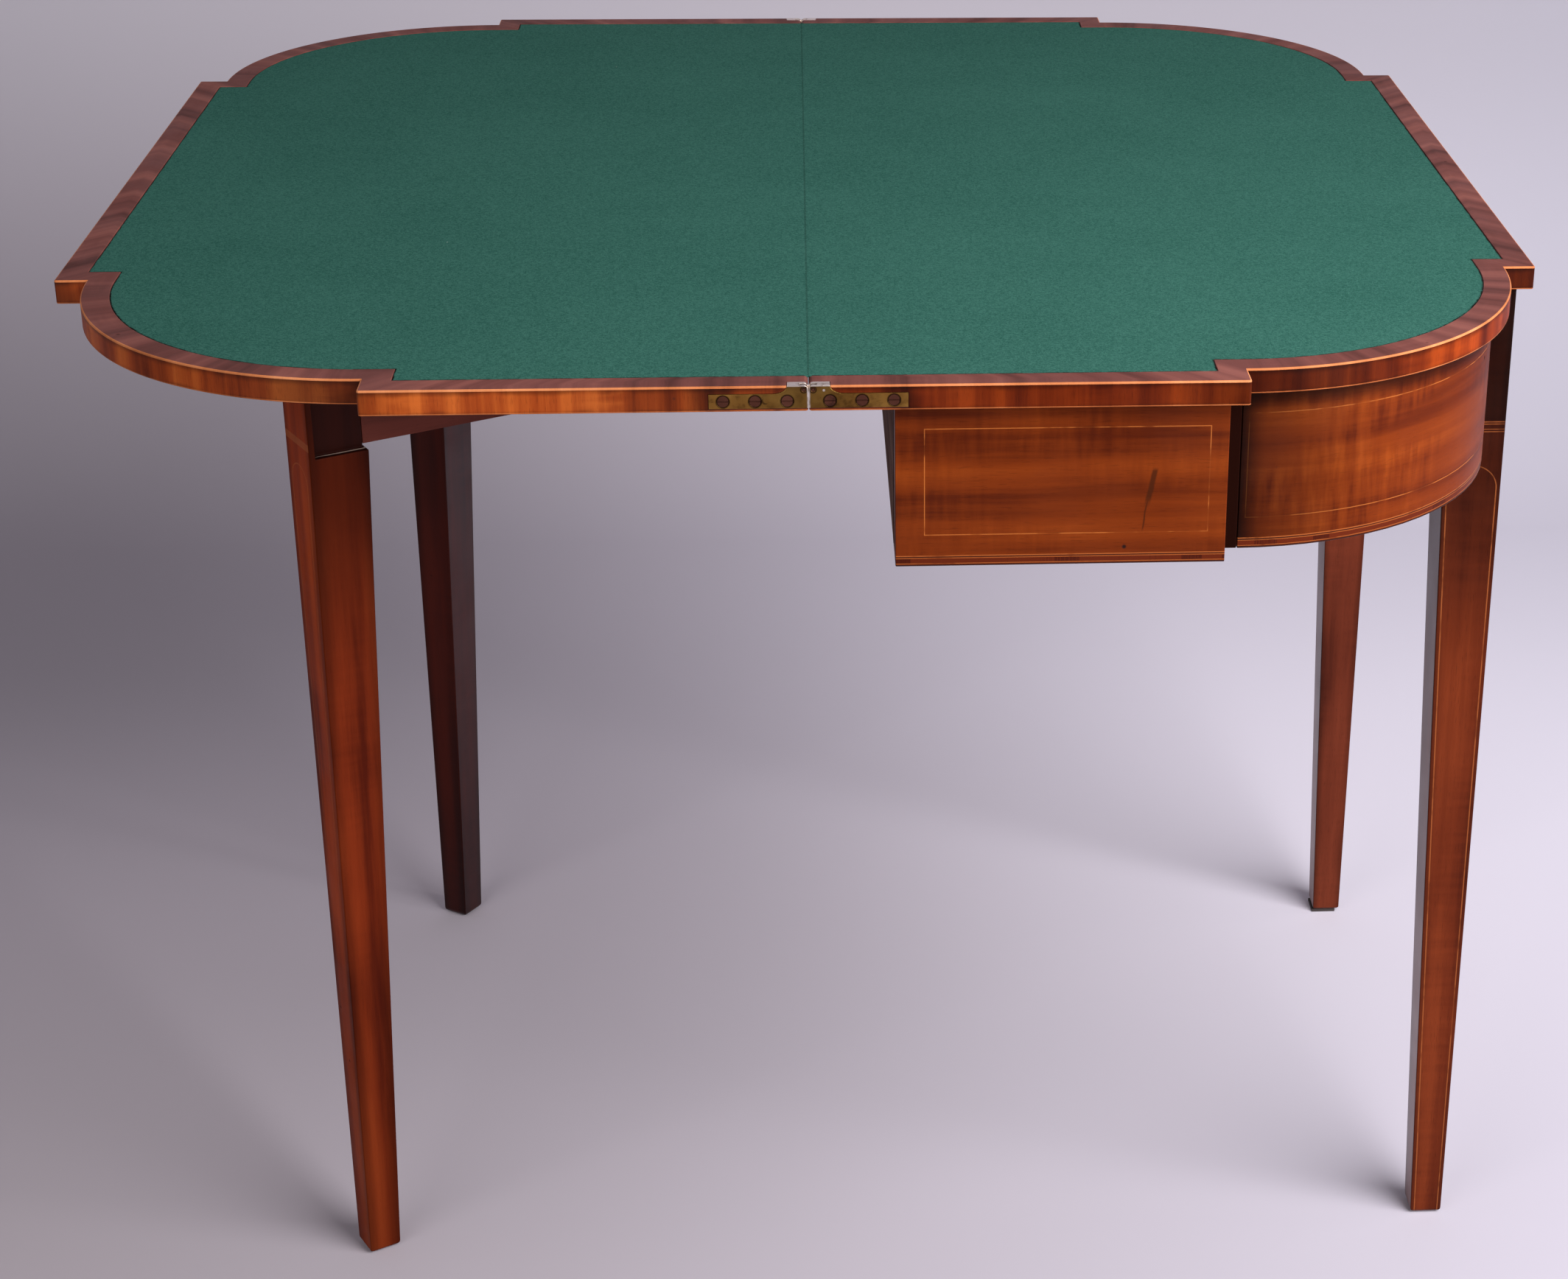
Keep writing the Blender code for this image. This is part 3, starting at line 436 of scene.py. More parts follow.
def carve(item, tool):
    """Cut a closed tool out of a piece, and throw the tool away."""
    close(tool.data)
    modifier = item.modifiers.new("carve", "BOOLEAN")
    modifier.operation, modifier.solver, modifier.object = "DIFFERENCE", "EXACT", tool
    bpy.context.view_layer.update()
    freeze(item)
    item.data.name = item.name
    bpy.data.objects.remove(tool)


def prism(name, outline, low, high):
    """A closed prism along Y, whose outline is given in X and Z."""
    outline = np.asarray(outline, float)
    count = len(outline)
    k = np.arange(count)
    points = np.stack([np.tile(outline[:, 0], 2), np.repeat([low, high], count),
                       np.tile(outline[:, 1], 2)], 1)
    sides = np.stack([k, (k + 1) % count, (k + 1) % count + count, k + count], 1)
    return plain_mesh(name, points, [*sides, k[::-1], k + count])


def turned_arc(radius, start, end, steps):
    """Points on a circle about the origin, between two angles in degrees."""
    angle = np.radians(np.linspace(start, end, steps + 1))
    return radius * np.stack([np.cos(angle), np.sin(angle)], 1)


leaf_low, leaf_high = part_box("fixed_leaf")
SEAM_GAP, PIN_INSET = leaf_low.x, 0.0026
LEAF_DEPTH, HALF_LENGTH, TABLE_HEIGHT = leaf_high.x, leaf_high.y, leaf_high.z
LEAF_THICKNESS = leaf_high.z - leaf_low.z
CORNER_RADIUS, BREAK_STEP, BORDER_WIDTH, RECESS_DEPTH = 0.1905, 0.020, 0.0172, 0.0015
STRAIGHT_X = LEAF_DEPTH - BREAK_STEP - CORNER_RADIUS
STRAIGHT_Y = HALF_LENGTH - BREAK_STEP - CORNER_RADIUS
ROLL_RADIUS, SEAM_FOOT_RADIUS = PIN_INSET - SEAM_GAP, 0.0018
STEP_ROUND, CURVE_STEPS, STEP_STEPS, SEAM_STEPS = 0.0016, 56, 4, 8


def leaf_outline(inset, seam_x=SEAM_GAP):
    """The outline from the seam's near end round to its far end, moved in by inset: a straight
    end, a step with a rounded corner, a quarter circle, a second step and the front."""
    eased, round_ = max(STEP_ROUND, inset), max(STEP_ROUND - inset, 0.0)
    fade = 1 - np.cos(np.radians(np.linspace(0, 90, SEAM_STEPS)))
    seam = np.stack([seam_x + (PIN_INSET - seam_x) * fade,
                     np.full(SEAM_STEPS, inset - HALF_LENGTH)], 1)
    corner = turned_arc(round_, -90, 0, STEP_STEPS)
    near = np.concatenate([
        seam,
        corner + (STRAIGHT_X - eased, eased - HALF_LENGTH),
        [(STRAIGHT_X - inset, inset + BREAK_STEP - HALF_LENGTH)],
        turned_arc(CORNER_RADIUS - inset, -90, 0, CURVE_STEPS) + (STRAIGHT_X, -STRAIGHT_Y),
        [(LEAF_DEPTH - BREAK_STEP - inset, inset - STRAIGHT_Y)],
        corner + (LEAF_DEPTH - eased, eased - STRAIGHT_Y),
    ])
    return np.concatenate([near, near[::-1] * (1, -1)])


def fall(radius, past):
    """How far a circle falls below its crown, at a place past the crown: the radius less the
    half chord."""
    return radius - np.sqrt(np.clip(radius ** 2 - past ** 2, 0, None))


def roll_limit(x, drop_top, drop_low):
    """Near the seam the top falls away in a round about the hinge pin, and the foot is eased."""
    top = fall(ROLL_RADIUS, np.clip(PIN_INSET - x, 0, None))
    foot = fall(SEAM_FOOT_RADIUS, np.clip(SEAM_FOOT_RADIUS + SEAM_GAP - x, 0, SEAM_FOOT_RADIUS))
    return np.maximum(drop_top, top), np.minimum(drop_low, LEAF_THICKNESS - foot)


TOP_ROUND, LOW_ROUND, STRING_TOP, STRING_FACE, STRING_FOOT = 0.0008, 0.0006, 0.0010, 0.0012, 0.0009
RECESS_EASE, SHOW_BAND, SHOW_STRING = 0.0003, 0.032, 0.0008
BORDER, STRING, EDGE, UNDERSIDE, SHOW_BORDER, FOOT_STRING = range(6)


def leaf_profile():
    """Rows of (inset, drop below the top, band) over the border, round the edge and under."""
    top = [(TOP_ROUND - u, TOP_ROUND - v, STRING) for u, v in turned_arc(TOP_ROUND, 90, 0, 4)]
    low = [(LOW_ROUND - u, LEAF_THICKNESS - LOW_ROUND - v, FOOT_STRING)
           for u, v in turned_arc(LOW_ROUND, 0, -90, 3)]
    return [
        (BORDER_WIDTH, RECESS_DEPTH, BORDER), (BORDER_WIDTH, RECESS_EASE, BORDER),
        (BORDER_WIDTH - RECESS_EASE, 0.0, BORDER), (STRING_TOP, 0.0, BORDER), *top,
        (0.0, STRING_FACE, EDGE), (0.0, LEAF_THICKNESS - STRING_FOOT, FOOT_STRING), *low,
        (STRING_TOP, LEAF_THICKNESS, SHOW_BORDER), (SHOW_BAND, LEAF_THICKNESS, STRING),
        (SHOW_BAND + SHOW_STRING, LEAF_THICKNESS, UNDERSIDE),
    ]


def strips(row, columns):
    """Quads across a closed shape, from each point of a ring's near half to its mirror."""
    k = np.arange(columns // 2 - 1)
    near, far = row * columns + k, row * columns + columns - 1 - k
    return [*np.stack([near, near + 1, far - 1, far], 1)]


def lengths_along(outline):
    """The distance along an outline at each of its points."""
    return np.r_[0, np.cumsum(np.linalg.norm(np.diff(outline, axis=0), axis=1))]


def leaf_board(name, hand, seed, materials):
    """The profile carried along the outline, then closed by strips across the leaf over the
    sunk floor and the underside, and by one face at the seam."""
    rows = leaf_profile()
    outlines = np.stack([leaf_outline(inset) for inset, _, _ in rows])
    count, columns = outlines.shape[:2]
    drops = np.array([drop for _, drop, _ in rows])[:, None] + np.zeros((1, columns))
    drops, floor = roll_limit(outlines[..., 0], drops, LEAF_THICKNESS + np.zeros_like(drops))
    drops = np.minimum(drops, floor)
    points = np.concatenate([outlines * (hand, 1), (TABLE_HEIGHT - drops)[..., None]], -1)
    along = lengths_along(leaf_outline(0.0))
    across = lengths_along(np.array([(inset, drop) for inset, drop, _ in rows]))
    grain = np.stack(np.broadcast_arrays(across[:, None] + seed, along[None] + seed), -1)
    rim = np.stack(np.broadcast_arrays(drops, along[None] - along[-1] / 2), -1)
    band = np.repeat([band for _, _, band in rows[:-1]], columns - 1)
    across_leaf = strips(0, columns) + strips(count - 1, columns)
    seam = [row * columns for row in range(count)]
    faces = [*grid_faces(count, columns), *across_leaf,
             seam + [row + columns - 1 for row in reversed(seam)]]
    item = plain_mesh(name, points, faces)
    skin(item, {"grain": grain, "rim": rim}, np.r_[band, np.full(len(across_leaf) + 1, UNDERSIDE)],
         materials)
    close(item.data)
    for kind in ("strip", "block"):
        carve(item, hinge_housing(kind, hand))
    return item


PLATE_LENGTH, PLATE_THICKNESS, TAB_LENGTH, TAB_WIDTH, TAB_DEPTH = 0.056, 0.002, 0.012, 0.007, 0.006
STRIP_TOP_DROP, STRIP_FOOT_DROP, SWEEP_LENGTH = 0.00475, 0.0133, 0.008
TOUCH_GAP, OVERRUN = 0.0003, 0.003


def plate_outline(grow, seam_x, top):
    """Side view of a hinge plate: a narrow strip that sweeps in a quarter ellipse up to a tab
    by the seam."""
    turn = np.radians(np.linspace(90, 0, 13))
    strip_top, end = STRIP_TOP_DROP - grow, PLATE_LENGTH + grow
    sweep = np.stack([TAB_LENGTH + grow + SWEEP_LENGTH * (1 - np.cos(turn)),
                      -strip_top * np.sin(turn)], 1)
    foot = -STRIP_FOOT_DROP - grow
    return np.array([(seam_x, foot), (end, foot), (end, -strip_top), *sweep,
                     (TAB_LENGTH + grow, top), (seam_x, top)]) + (0.0, TABLE_HEIGHT)


def hinge_housing(kind, hand):
    """The two tools, one at each end, that sink a plate's strip or its block into the leaf."""
    depth = TOUCH_GAP + (PLATE_THICKNESS if kind == "strip" else TAB_WIDTH)
    if kind == "strip":
        outline = plate_outline(TOUCH_GAP, -OVERRUN, OVERRUN)
    else:
        x, z = TAB_LENGTH + TOUCH_GAP, TABLE_HEIGHT - TAB_DEPTH - TOUCH_GAP
        top = TABLE_HEIGHT + OVERRUN
        outline = np.array([(-OVERRUN, z), (x, z), (x, top), (-OVERRUN, top)])
    near = prism("housing", outline * (hand, 1), -HALF_LENGTH - OVERRUN, -HALF_LENGTH + depth)
    far = prism("housing_far", outline * (hand, 1), HALF_LENGTH - depth, HALF_LENGTH + OVERRUN)
    bm = bmesh.new()
    for tool in (near, far):
        bm.from_mesh(tool.data)
    bm.to_mesh(near.data)
    bm.free()
    bpy.data.objects.remove(far)
    return near


def rim_shade(*shades):
    """Paints shade on an edge banding just under its top string and above its foot. Each shade
    is a place along the edge from the middle of the front, how far it reaches, and its depth;
    a depth above one paints the edge lighter there."""
    def inlay(place, colour):
        drop, along = on_map(place, "rim")[:2]
        drop = maths("ADD", drop, about(noise(place, 60.0, 3.0), 0.005, 0.0))
        lit = times(ramped(drop, 0.0008, 0.0048, 0.40, 1.0),
                    ramped(drop, 0.0152, 0.0122, 0.55, 1.0))
        ends = about(noise(place, 25.0), 0.03, maths("ABSOLUTE", along))
        for middle, reach, shade in shades:
            lit = times(lit, ramped(apart(ends, middle), reach * 0.3, reach, shade, 1.0))
        return dimmed(lit, colour)
    return inlay


boxwood = wood(
    "boxwood_string", (0.62, 0.25, 0.110), (0.48, 0.160, 0.058), (0.22, 0.060, 0.018),
    streak=0.6, ripple=0.3, pores=0.15, roughness=0.45, dirt=0.4, shine=0.06)
# The foot strings are the same boxwood in darker colours.
foot_string = wood(
    "worn_boxwood_string", (0.46, 0.150, 0.050), (0.33, 0.090, 0.026), (0.12, 0.030, 0.009),
    streak=0.9, ripple=0.3, pores=0.15, dirt=0.4)
# The border's colours are mahogany with a mauve cast that is a painted reflection of the pale
# room.
leaf_border = wood(
    "mahogany_border", (0.225, 0.076, 0.060), (0.140, 0.044, 0.036), (0.066, 0.020, 0.016),
    ripple=0.3, pores=0.15, roughness=0.50, dirt=0.5, shine=0.06, bump=0.04)
# Painted shade by the steps and on the curves beside them; darker towards the hinge, with a dark
# ring about the plates' ends.
leaf_edge = wood(
    "mahogany_edge_banding", (0.45, 0.102, 0.016), (0.255, 0.041, 0.0055), (0.10, 0.013, 0.002),
    streak=1.15, ripple=0.5, pores=0.35, shine=0.15, bump=0.06,
    inlay=rim_shade((0.555, 0.060, 0.42), (0.80, 0.12, 0.65), (0.788, 0.016, 0.5),
                    (0.247, 0.02, 0.45)))
# Painted shade by the steps and on the curves beside them, painted light along the front part of
# each curve, and a dark ring about the plates' ends.
deep_edge = wood(
    "deep_mahogany_edge_banding", (0.175, 0.025, 0.003), (0.095, 0.0115, 0.0016),
    (0.040, 0.0042, 0.001), streak=1.3, ripple=0.5, pores=0.35, bump=0.06,
    inlay=rim_shade((0.56, 0.09, 0.5), (0.36, 0.13, 1.7), (0.262, 0.02, 0.4),
                    (0.788, 0.016, 0.5)))
leaf_underside = wood(
    "mahogany_underside", (0.21, 0.055, 0.018), (0.13, 0.030, 0.010), (0.06, 0.012, 0.005),
    ALONG_Y, streak=0.9, roughness=0.45)
show_field = wood(
    "mahogany_show_veneer", (0.30, 0.075, 0.016), (0.19, 0.038, 0.009), (0.08, 0.014, 0.005),
    ALONG_Y, ripple=0.7, roughness=0.3)
show_border = wood(
    "mahogany_show_banding", (0.30, 0.07, 0.016), (0.17, 0.033, 0.008), (0.06, 0.011, 0.004),
    streak=1.1, ripple=0.3, roughness=0.3)
for name, hand, body, edge, under, under_border, seed in (
        ("fixed_leaf_board", 1, "carcass", deep_edge, leaf_underside, leaf_underside, 2.37),
        ("folding_leaf_board", -1, "folding_top", leaf_edge, show_field, show_border, 7.91)):
    board = leaf_board(name, hand, seed,
                       (leaf_border, boxwood, edge, under, under_border, foot_string))
    settle(board, body, [name.replace("_board", "")])

# The baize
# Each sunk floor is lined with one piece of green wool baize, glued down. Its cut edges are
# a little ragged, and leave a thin dark gap beside the border.
CLOTH_GAP, CLOTH_LOW, CLOTH_HIGH, CLOTH_STEP, CLOTH_SEAM_X = 0.0004, 0.0012, 0.0002, 0.0011, 0.0
CLOTH_ROUND, CLOTH_INNER = 0.0005, 0.004
# Rings of the cloth's rim: inset, drop, and drop at the seam, where the edge stands flat.
CLOTH_RINGS = np.array([
    (0.0006, CLOTH_LOW, CLOTH_LOW), (0.0, CLOTH_LOW - 0.00015, CLOTH_LOW - 0.00015),
    (0.0, CLOTH_HIGH + 0.0004, CLOTH_HIGH), (0.00015, CLOTH_HIGH + 0.00012, CLOTH_HIGH),
    (CLOTH_ROUND, CLOTH_HIGH, CLOTH_HIGH), (CLOTH_INNER, CLOTH_HIGH, CLOTH_HIGH)])
FINE_RAG, COARSE_RAG, COARSE_EVERY, MOST_OUT, MOST_IN = 0.00008, 0.00013, 6, -0.00028, 0.0006


def cloth_sheet(name, hand, seed, material):
    """Rings that follow the sunk floor's outline, each a little further in and higher, then
    strips across. Smoothed random steps, faded out at the seam, make the cut edge ragged."""
    first = leaf_outline(BORDER_WIDTH + CLOTH_GAP, CLOTH_SEAM_X)
    length = lengths_along(first)
    count = 2 * int(length[-1] / CLOTH_STEP / 2)
    place = np.interp(np.linspace(0, length[-1], count), length, np.arange(len(length)))
    steps = np.arange(count)
    from_seam = np.minimum(steps, steps[::-1])
    random = np.random.default_rng(seed)
    fine = random.normal(0, 1, count)
    coarse = random.normal(0, 1, count // COARSE_EVERY + 2)
    ragged = FINE_RAG * fine + COARSE_RAG * np.interp(
        steps / COARSE_EVERY, np.arange(len(coarse)), coarse)
    ragged *= np.clip(from_seam / 4, 0, 1)
    levels = []
    for extra, drop, seam_drop in CLOTH_RINGS:
        outline = leaf_outline(BORDER_WIDTH + CLOTH_GAP + extra,
                               CLOTH_SEAM_X + 0.3 * min(extra, CLOTH_ROUND))
        ring = np.stack([np.interp(place, np.arange(len(outline)), axis) for axis in outline.T], 1)
        way = np.gradient(ring, axis=0)
        way /= np.linalg.norm(way, axis=1, keepdims=True) + 1e-9
        inwards = np.stack([-way[:, 1], way[:, 0]], 1)
        if extra < CLOTH_INNER:
            ring = ring + inwards * np.clip(ragged, MOST_OUT, MOST_IN)[:, None]
        ring[:, 0] = np.maximum(ring[:, 0], outline[0, 0])
        height = np.full(count, TABLE_HEIGHT - drop)
        height[[0, -1]] = TABLE_HEIGHT - seam_drop
        levels.append(np.column_stack([ring * (hand, 1), height]))
    points = np.stack(levels)
    row = np.arange(len(CLOTH_RINGS) - 1) * count
    faces = [*grid_faces(len(CLOTH_RINGS), count), *strips(0, count),
             *strips(len(CLOTH_RINGS) - 1, count),
             *np.stack([row, row + count, row + 2 * count - 1, row + count - 1], 1)]
    item = plain_mesh(name, points, faces)
    inside = np.stack([np.where(from_seam < 2, CLOTH_INNER, extra)
                       for extra in (0.0, *CLOTH_RINGS[1:, 0])])
    along = np.broadcast_to(steps * CLOTH_STEP, inside.shape)
    skin(item, {"cut": np.stack([inside, along], -1)}, np.zeros(len(faces)), (material,))
    close(item.data)
    x, y = points[1, :, 0], points[1, :, 1]
    return item, abs(np.dot(x, np.roll(y, 1)) - np.dot(y, np.roll(x, 1))) / 2


baize, shader, place = new_material("green_baize")
nap = noise(place, 1300.0, 3.0, 0.65)
clump = noise(place, 620.0, 2.0, 0.6)
lay_of_nap = noise(place, 9.0, 3.0, 0.55)
tone = about(nap, 1.2, about(clump, 0.75, about(lay_of_nap, 0.16, 0.5)))
colour = mixed(ramped(tone, 0.1, 0.9), (0.0105, 0.062, 0.047), (0.048, 0.150, 0.118))
fibre = streaked(place, (300, 1700, 1), turn=(0, 0, 0.5))
colour = mixed(ramped(fibre, 0.66, 0.80, 0.0, 0.25), colour, (0.12, 0.30, 0.24))
lint = node("TexVoronoi", {"Vector": place, "Scale": 48.0, "Randomness": 1.0}).outputs
speck = times(ramped(lint["Distance"], 0.030, 0.012), ramped(chance(lint), 0.90, 0.93), 0.55)
colour = mixed(speck, colour, (0.55, 0.60, 0.52))
# Darker within about a millimetre of the cloth's cut edge, in patches.
cut_edge_darkening = times(ramped(on_map(place, "cut")[0], 0.0011, 0.0002),
              ramped(noise(place, 130.0, 4.0, 0.7), 0.36, 0.56, 0.25, 1.0))
colour = mixed(cut_edge_darkening, colour, (0.006, 0.010, 0.009))
from_seam = maths("ABSOLUTE", split(place)[0])
feed(shader.inputs, {
    "Base Color": dimmed(ramped(from_seam, 0.0001, 0.0010, 0.70, 1.0), colour),
    "Normal": bumped(maths("MULTIPLY_ADD", clump, 0.7, nap), 0.5, 0.0003),
    "Roughness": 0.95, "Specular IOR Level": 0.04})
LEVEL = 0.9999
for name, hand, body, seed in (("fixed_baize", 1, "carcass", 11),
                               ("folding_baize", -1, "folding_top", 29)):
    cloth, area = cloth_sheet(name + "_cloth", hand, seed, baize)
    cloth.data.shade_smooth()
    cloth.data.polygons.foreach_set(
        "use_smooth", [face.normal.z < LEVEL for face in cloth.data.polygons])
    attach(cloth, body)
    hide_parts(name)

# The link hinges
# Each hinge is two cast brass plates, let into the ends of the leaves with three browned
# screws each, and joined by a short link that turns on two pins.
FLAT_ANGLE, ARRIS_ANGLE = math.radians(0.4), math.radians(30)


def eased_copy(name, ease, segments):
    """A merged copy of a CAD part, its flat faces made whole again and its arrises rounded."""
    item = bpy.data.objects.new(f"{name}_finished", nodes[name].data.copy())
    bpy.context.scene.collection.objects.link(item)
    item.data.materials.clear()
    bm = bmesh.new()
    bm.from_mesh(item.data)
    bmesh.ops.remove_doubles(bm, verts=bm.verts, dist=MERGE)
    bmesh.ops.dissolve_limit(bm, angle_limit=FLAT_ANGLE, verts=bm.verts, edges=bm.edges)
    bmesh.ops.recalc_face_normals(bm, faces=bm.faces)
    bm.to_mesh(item.data)
    bm.free()
    bevel = item.modifiers.new("eased", "BEVEL")
    bevel.width, bevel.segments = ease, segments
    bevel.limit_method, bevel.angle_limit = "ANGLE", ARRIS_ANGLE
    freeze(item)
    return item


def corner_places(mesh):
    """The place of each face corner, and the normal of the face that it belongs to."""
    corner = read_array(mesh.loops, "vertex_index", kind=np.int32)
    total = read_array(mesh.polygons, "loop_total", kind=np.int32)
    return (read_array(mesh.vertices, "co", 3)[corner],
            np.repeat(read_array(mesh.polygons, "normal", 3), total, axis=0))


def dress(name, ease, material, maps=None, segments=3, sharp=35.0, shape=None):
    """An eased copy of a CAD part in its finish, on the part's own body. The maps function
    gives UV maps from the places and the normals of the face corners, and the shape function
    changes the mesh before that."""
    item = eased_copy(name, ease, segments)
    if shape:
        shape(item.data)
    for label, values in (maps(*corner_places(item.data)) if maps else {}).items():
        layer = item.data.uv_layers.new(name=label)
        layer.data.foreach_set("uv", np.asarray(values, np.float32).ravel())
    item.data.materials.append(material)
    settle(item, nodes[name]["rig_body"], [name], sharp)


def larger(*masks):
    """The largest of several masks."""
    total = masks[0]
    for mask in masks[1:]:
        total = maths("MAXIMUM", total, mask)
    return total


def metal(name, bright, dull, dark, roughness, wear=1.0, metallic=1.0, shine=0.5, extra=None):
    """Old metal: bright where it is rubbed, dull over the rest, dark in blotches and pits."""
    material, shader, place = new_material(name)
    blotch = noise(place, 130.0, 5.0, 0.6)
    scratch = streaked(place, (90, 1600, 1600))
    pit = noise(place, 620.0, 3.0, 0.6)
    colour = mixed(ramped(blotch, 0.30, 0.52), dark, dull)
    colour = mixed(times(ramped(noise(place, 45.0, 3.0, 0.6), 0.45, 0.75), wear), colour, bright)
    colour = mixed(ramped(scratch, 0.66, 0.74, 0.0, 0.35), colour, bright)
    colour = mixed(ramped(pit, 0.66, 0.74, 0.0, 0.7), colour, dark)
    feed(shader.inputs, {
        "Base Color": extra(place, colour) if extra else colour, "Metallic": metallic,
        "Specular IOR Level": shine, "Roughness": about(blotch, 0.25, roughness),
        "Normal": bumped(maths("SUBTRACT", scratch, pit), 0.3, 0.0002)})
    return material


SCREW_RADIUS, SCREW_SHARES = 0.0033, (0.214, 0.536, 0.857)
RIVET_DROP, RIVET_RADIUS = 0.00245, 0.0019


def plate_marks(place, colour):
    """Two brown rivet heads over the pins, a dark ring round each screw, a darker part near the
    seam and a lighter one towards the plate's end, and the nick, rubbed top and seam edge made
    near white: wear and painted highlight."""
    x, _, z = split(place)
    from_seam = maths("ABSOLUTE", x)

    def away_from(across, middle, drop):
        point = node("CombineXYZ", {0: across, 1: z}).outputs[0]
        return distance(point, (middle, TABLE_HEIGHT - drop, 0.0))

    # Darker towards the seam, lighter towards the plate's end.
    colour = dimmed(ramped(from_seam, 0.004, 0.050, 0.72, 1.25), colour)
    screw_drop = (STRIP_TOP_DROP + STRIP_FOOT_DROP) / 2
    rings = [ramped(away_from(from_seam, PLATE_LENGTH * share, screw_drop),
                    SCREW_RADIUS + 0.0011, SCREW_RADIUS + 0.0004, 0.0, 0.85)
             for share in SCREW_SHARES]
    rivet = away_from(from_seam, PIN_INSET, RIVET_DROP)
    colour = mixed(ramped(rivet, RIVET_RADIUS, 0.0016, 0.0, 0.8), colour, (0.11, 0.042, 0.022))
    rings.append(ramped(apart(rivet, RIVET_RADIUS), 0.0004, 0.0001, 0.0, 0.8))
    colour = mixed(larger(*rings), colour, (0.020, 0.009, 0.006))
    scratch = times(ramped(away_from(x, -0.0245, 0.0090), 0.0022, 0.0016),
                    ramped(away_from(x, -0.0235, 0.0082), 0.0018, 0.0022), 0.7)
    colour = mixed(scratch, colour, (0.05, 0.02, 0.01))
    # Painted highlight with wear: the rubbed top, the seam edge and the nick are made near white.
    rubbed = larger(ramped(z, TABLE_HEIGHT - 0.0007, TABLE_HEIGHT - 0.0003),
                    ramped(from_seam, 0.0011, 0.0006),
                    ramped(away_from(x, 0.0086, 0.0028), 0.0009, 0.0005))
    rubbed = times(rubbed, ramped(noise(place, 300.0, 3.0), 0.3, 0.5, 0.45, 0.95))
    return mixed(rubbed, colour, (0.95, 0.84, 0.76))


brass = metal("aged_brass", (0.46, 0.255, 0.062), (0.32, 0.158, 0.036), (0.16, 0.072, 0.019),
              roughness=0.36, extra=plate_marks)
browned_iron = metal("browned_iron", (0.070, 0.024, 0.015), (0.042, 0.013, 0.008),
                     (0.018, 0.006, 0.004), roughness=0.55, wear=0.6, metallic=0.0, shine=0.08)
for half in ("fixed", "folding"):
    for end in ("near", "far"):
        dress(f"hinge_plate_{half}_{end}", 0.0004, brass, segments=2)
for name in nodes:
    if name.startswith("hinge_link"):
        nodes[name].data.materials[0] = brass
    elif "screw" in name or name.startswith(("hinge_pin", "gate_pin")):
        nodes[name].data.materials[0] = browned_iron

# The frieze
# Straight panels planted at the two ends, and curved rails veneered with figured mahogany,
# run round under the fixed leaf. Boxwood strings frame each face, over a cross-banded foot.
FRIEZE_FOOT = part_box("end_panel_near")[0].z
FRIEZE_RADIUS, PANEL_EASE = 0.1805, 0.0006
FRAME_LOW, FRAME_HIGH, FRAME_LINE = 0.6345, 0.6995, 0.0005
FOOT_BAND, BAND_PIECE = (0.0031, 0.0032), 0.012
PALE_FOOT_LINES, DARK_FOOT_LINE = (
    (0.0064, 0.0005), (0.0050, 0.0003), (0.0017, 0.0003)), (0.0057, 0.0004)


def line_mask(value, centre, width):
    """One within a line of that width about the centre, with soft edges."""
    return ramped(apart(value, centre), width / 2 + 0.0002, width / 2 - 0.0001)


# A string let in round a rectangle: a thin line on its outline.
string_frame, entry, leave = shader_group(
    "string_frame", {"Across": "value", "Up": "value", "Middle across": "value",
                     "Half across": "value", "Middle up": "value", "Half up": "value",
                     "Width": "value"}, {"Mask": "value"})
reach = [maths("SUBTRACT", apart(entry[way], entry[f"Middle {way.lower()}"]),
               entry[f"Half {way.lower()}"]) for way in ("Across", "Up")]
away = maths("DIVIDE", maths("ABSOLUTE", maths("MAXIMUM", *reach)), entry["Width"])
feed(leave, {"Mask": maths("SUBTRACT", 1.0, ramped(away, 0.38, 0.72))})

# Cross-banding: short pieces of dark and red veneer set end to end, with the grain upright.
band_pieces, entry, leave = shader_group(
    "band_pieces", {"Across": "value", "Length": "value"}, {"Color": "colour"})
step = maths("DIVIDE", entry["Across"], entry["Length"])
pieces = node("TexVoronoi", {"W": step, "Scale": 1.0}, voronoi_dimensions="1D")
fine = node("TexNoise", {"W": step, "Scale": 14.0, "Detail": 3.0},
            noise_dimensions="1D").outputs["Fac"]
tone = maths("ADD", times(chance(pieces.outputs), 0.6), times(fine, 0.5))
feed(leave, {"Color": mixed(ramped(tone, 0.22, 0.55), (0.045, 0.006, 0.002),
                            (0.085, 0.012, 0.003))})


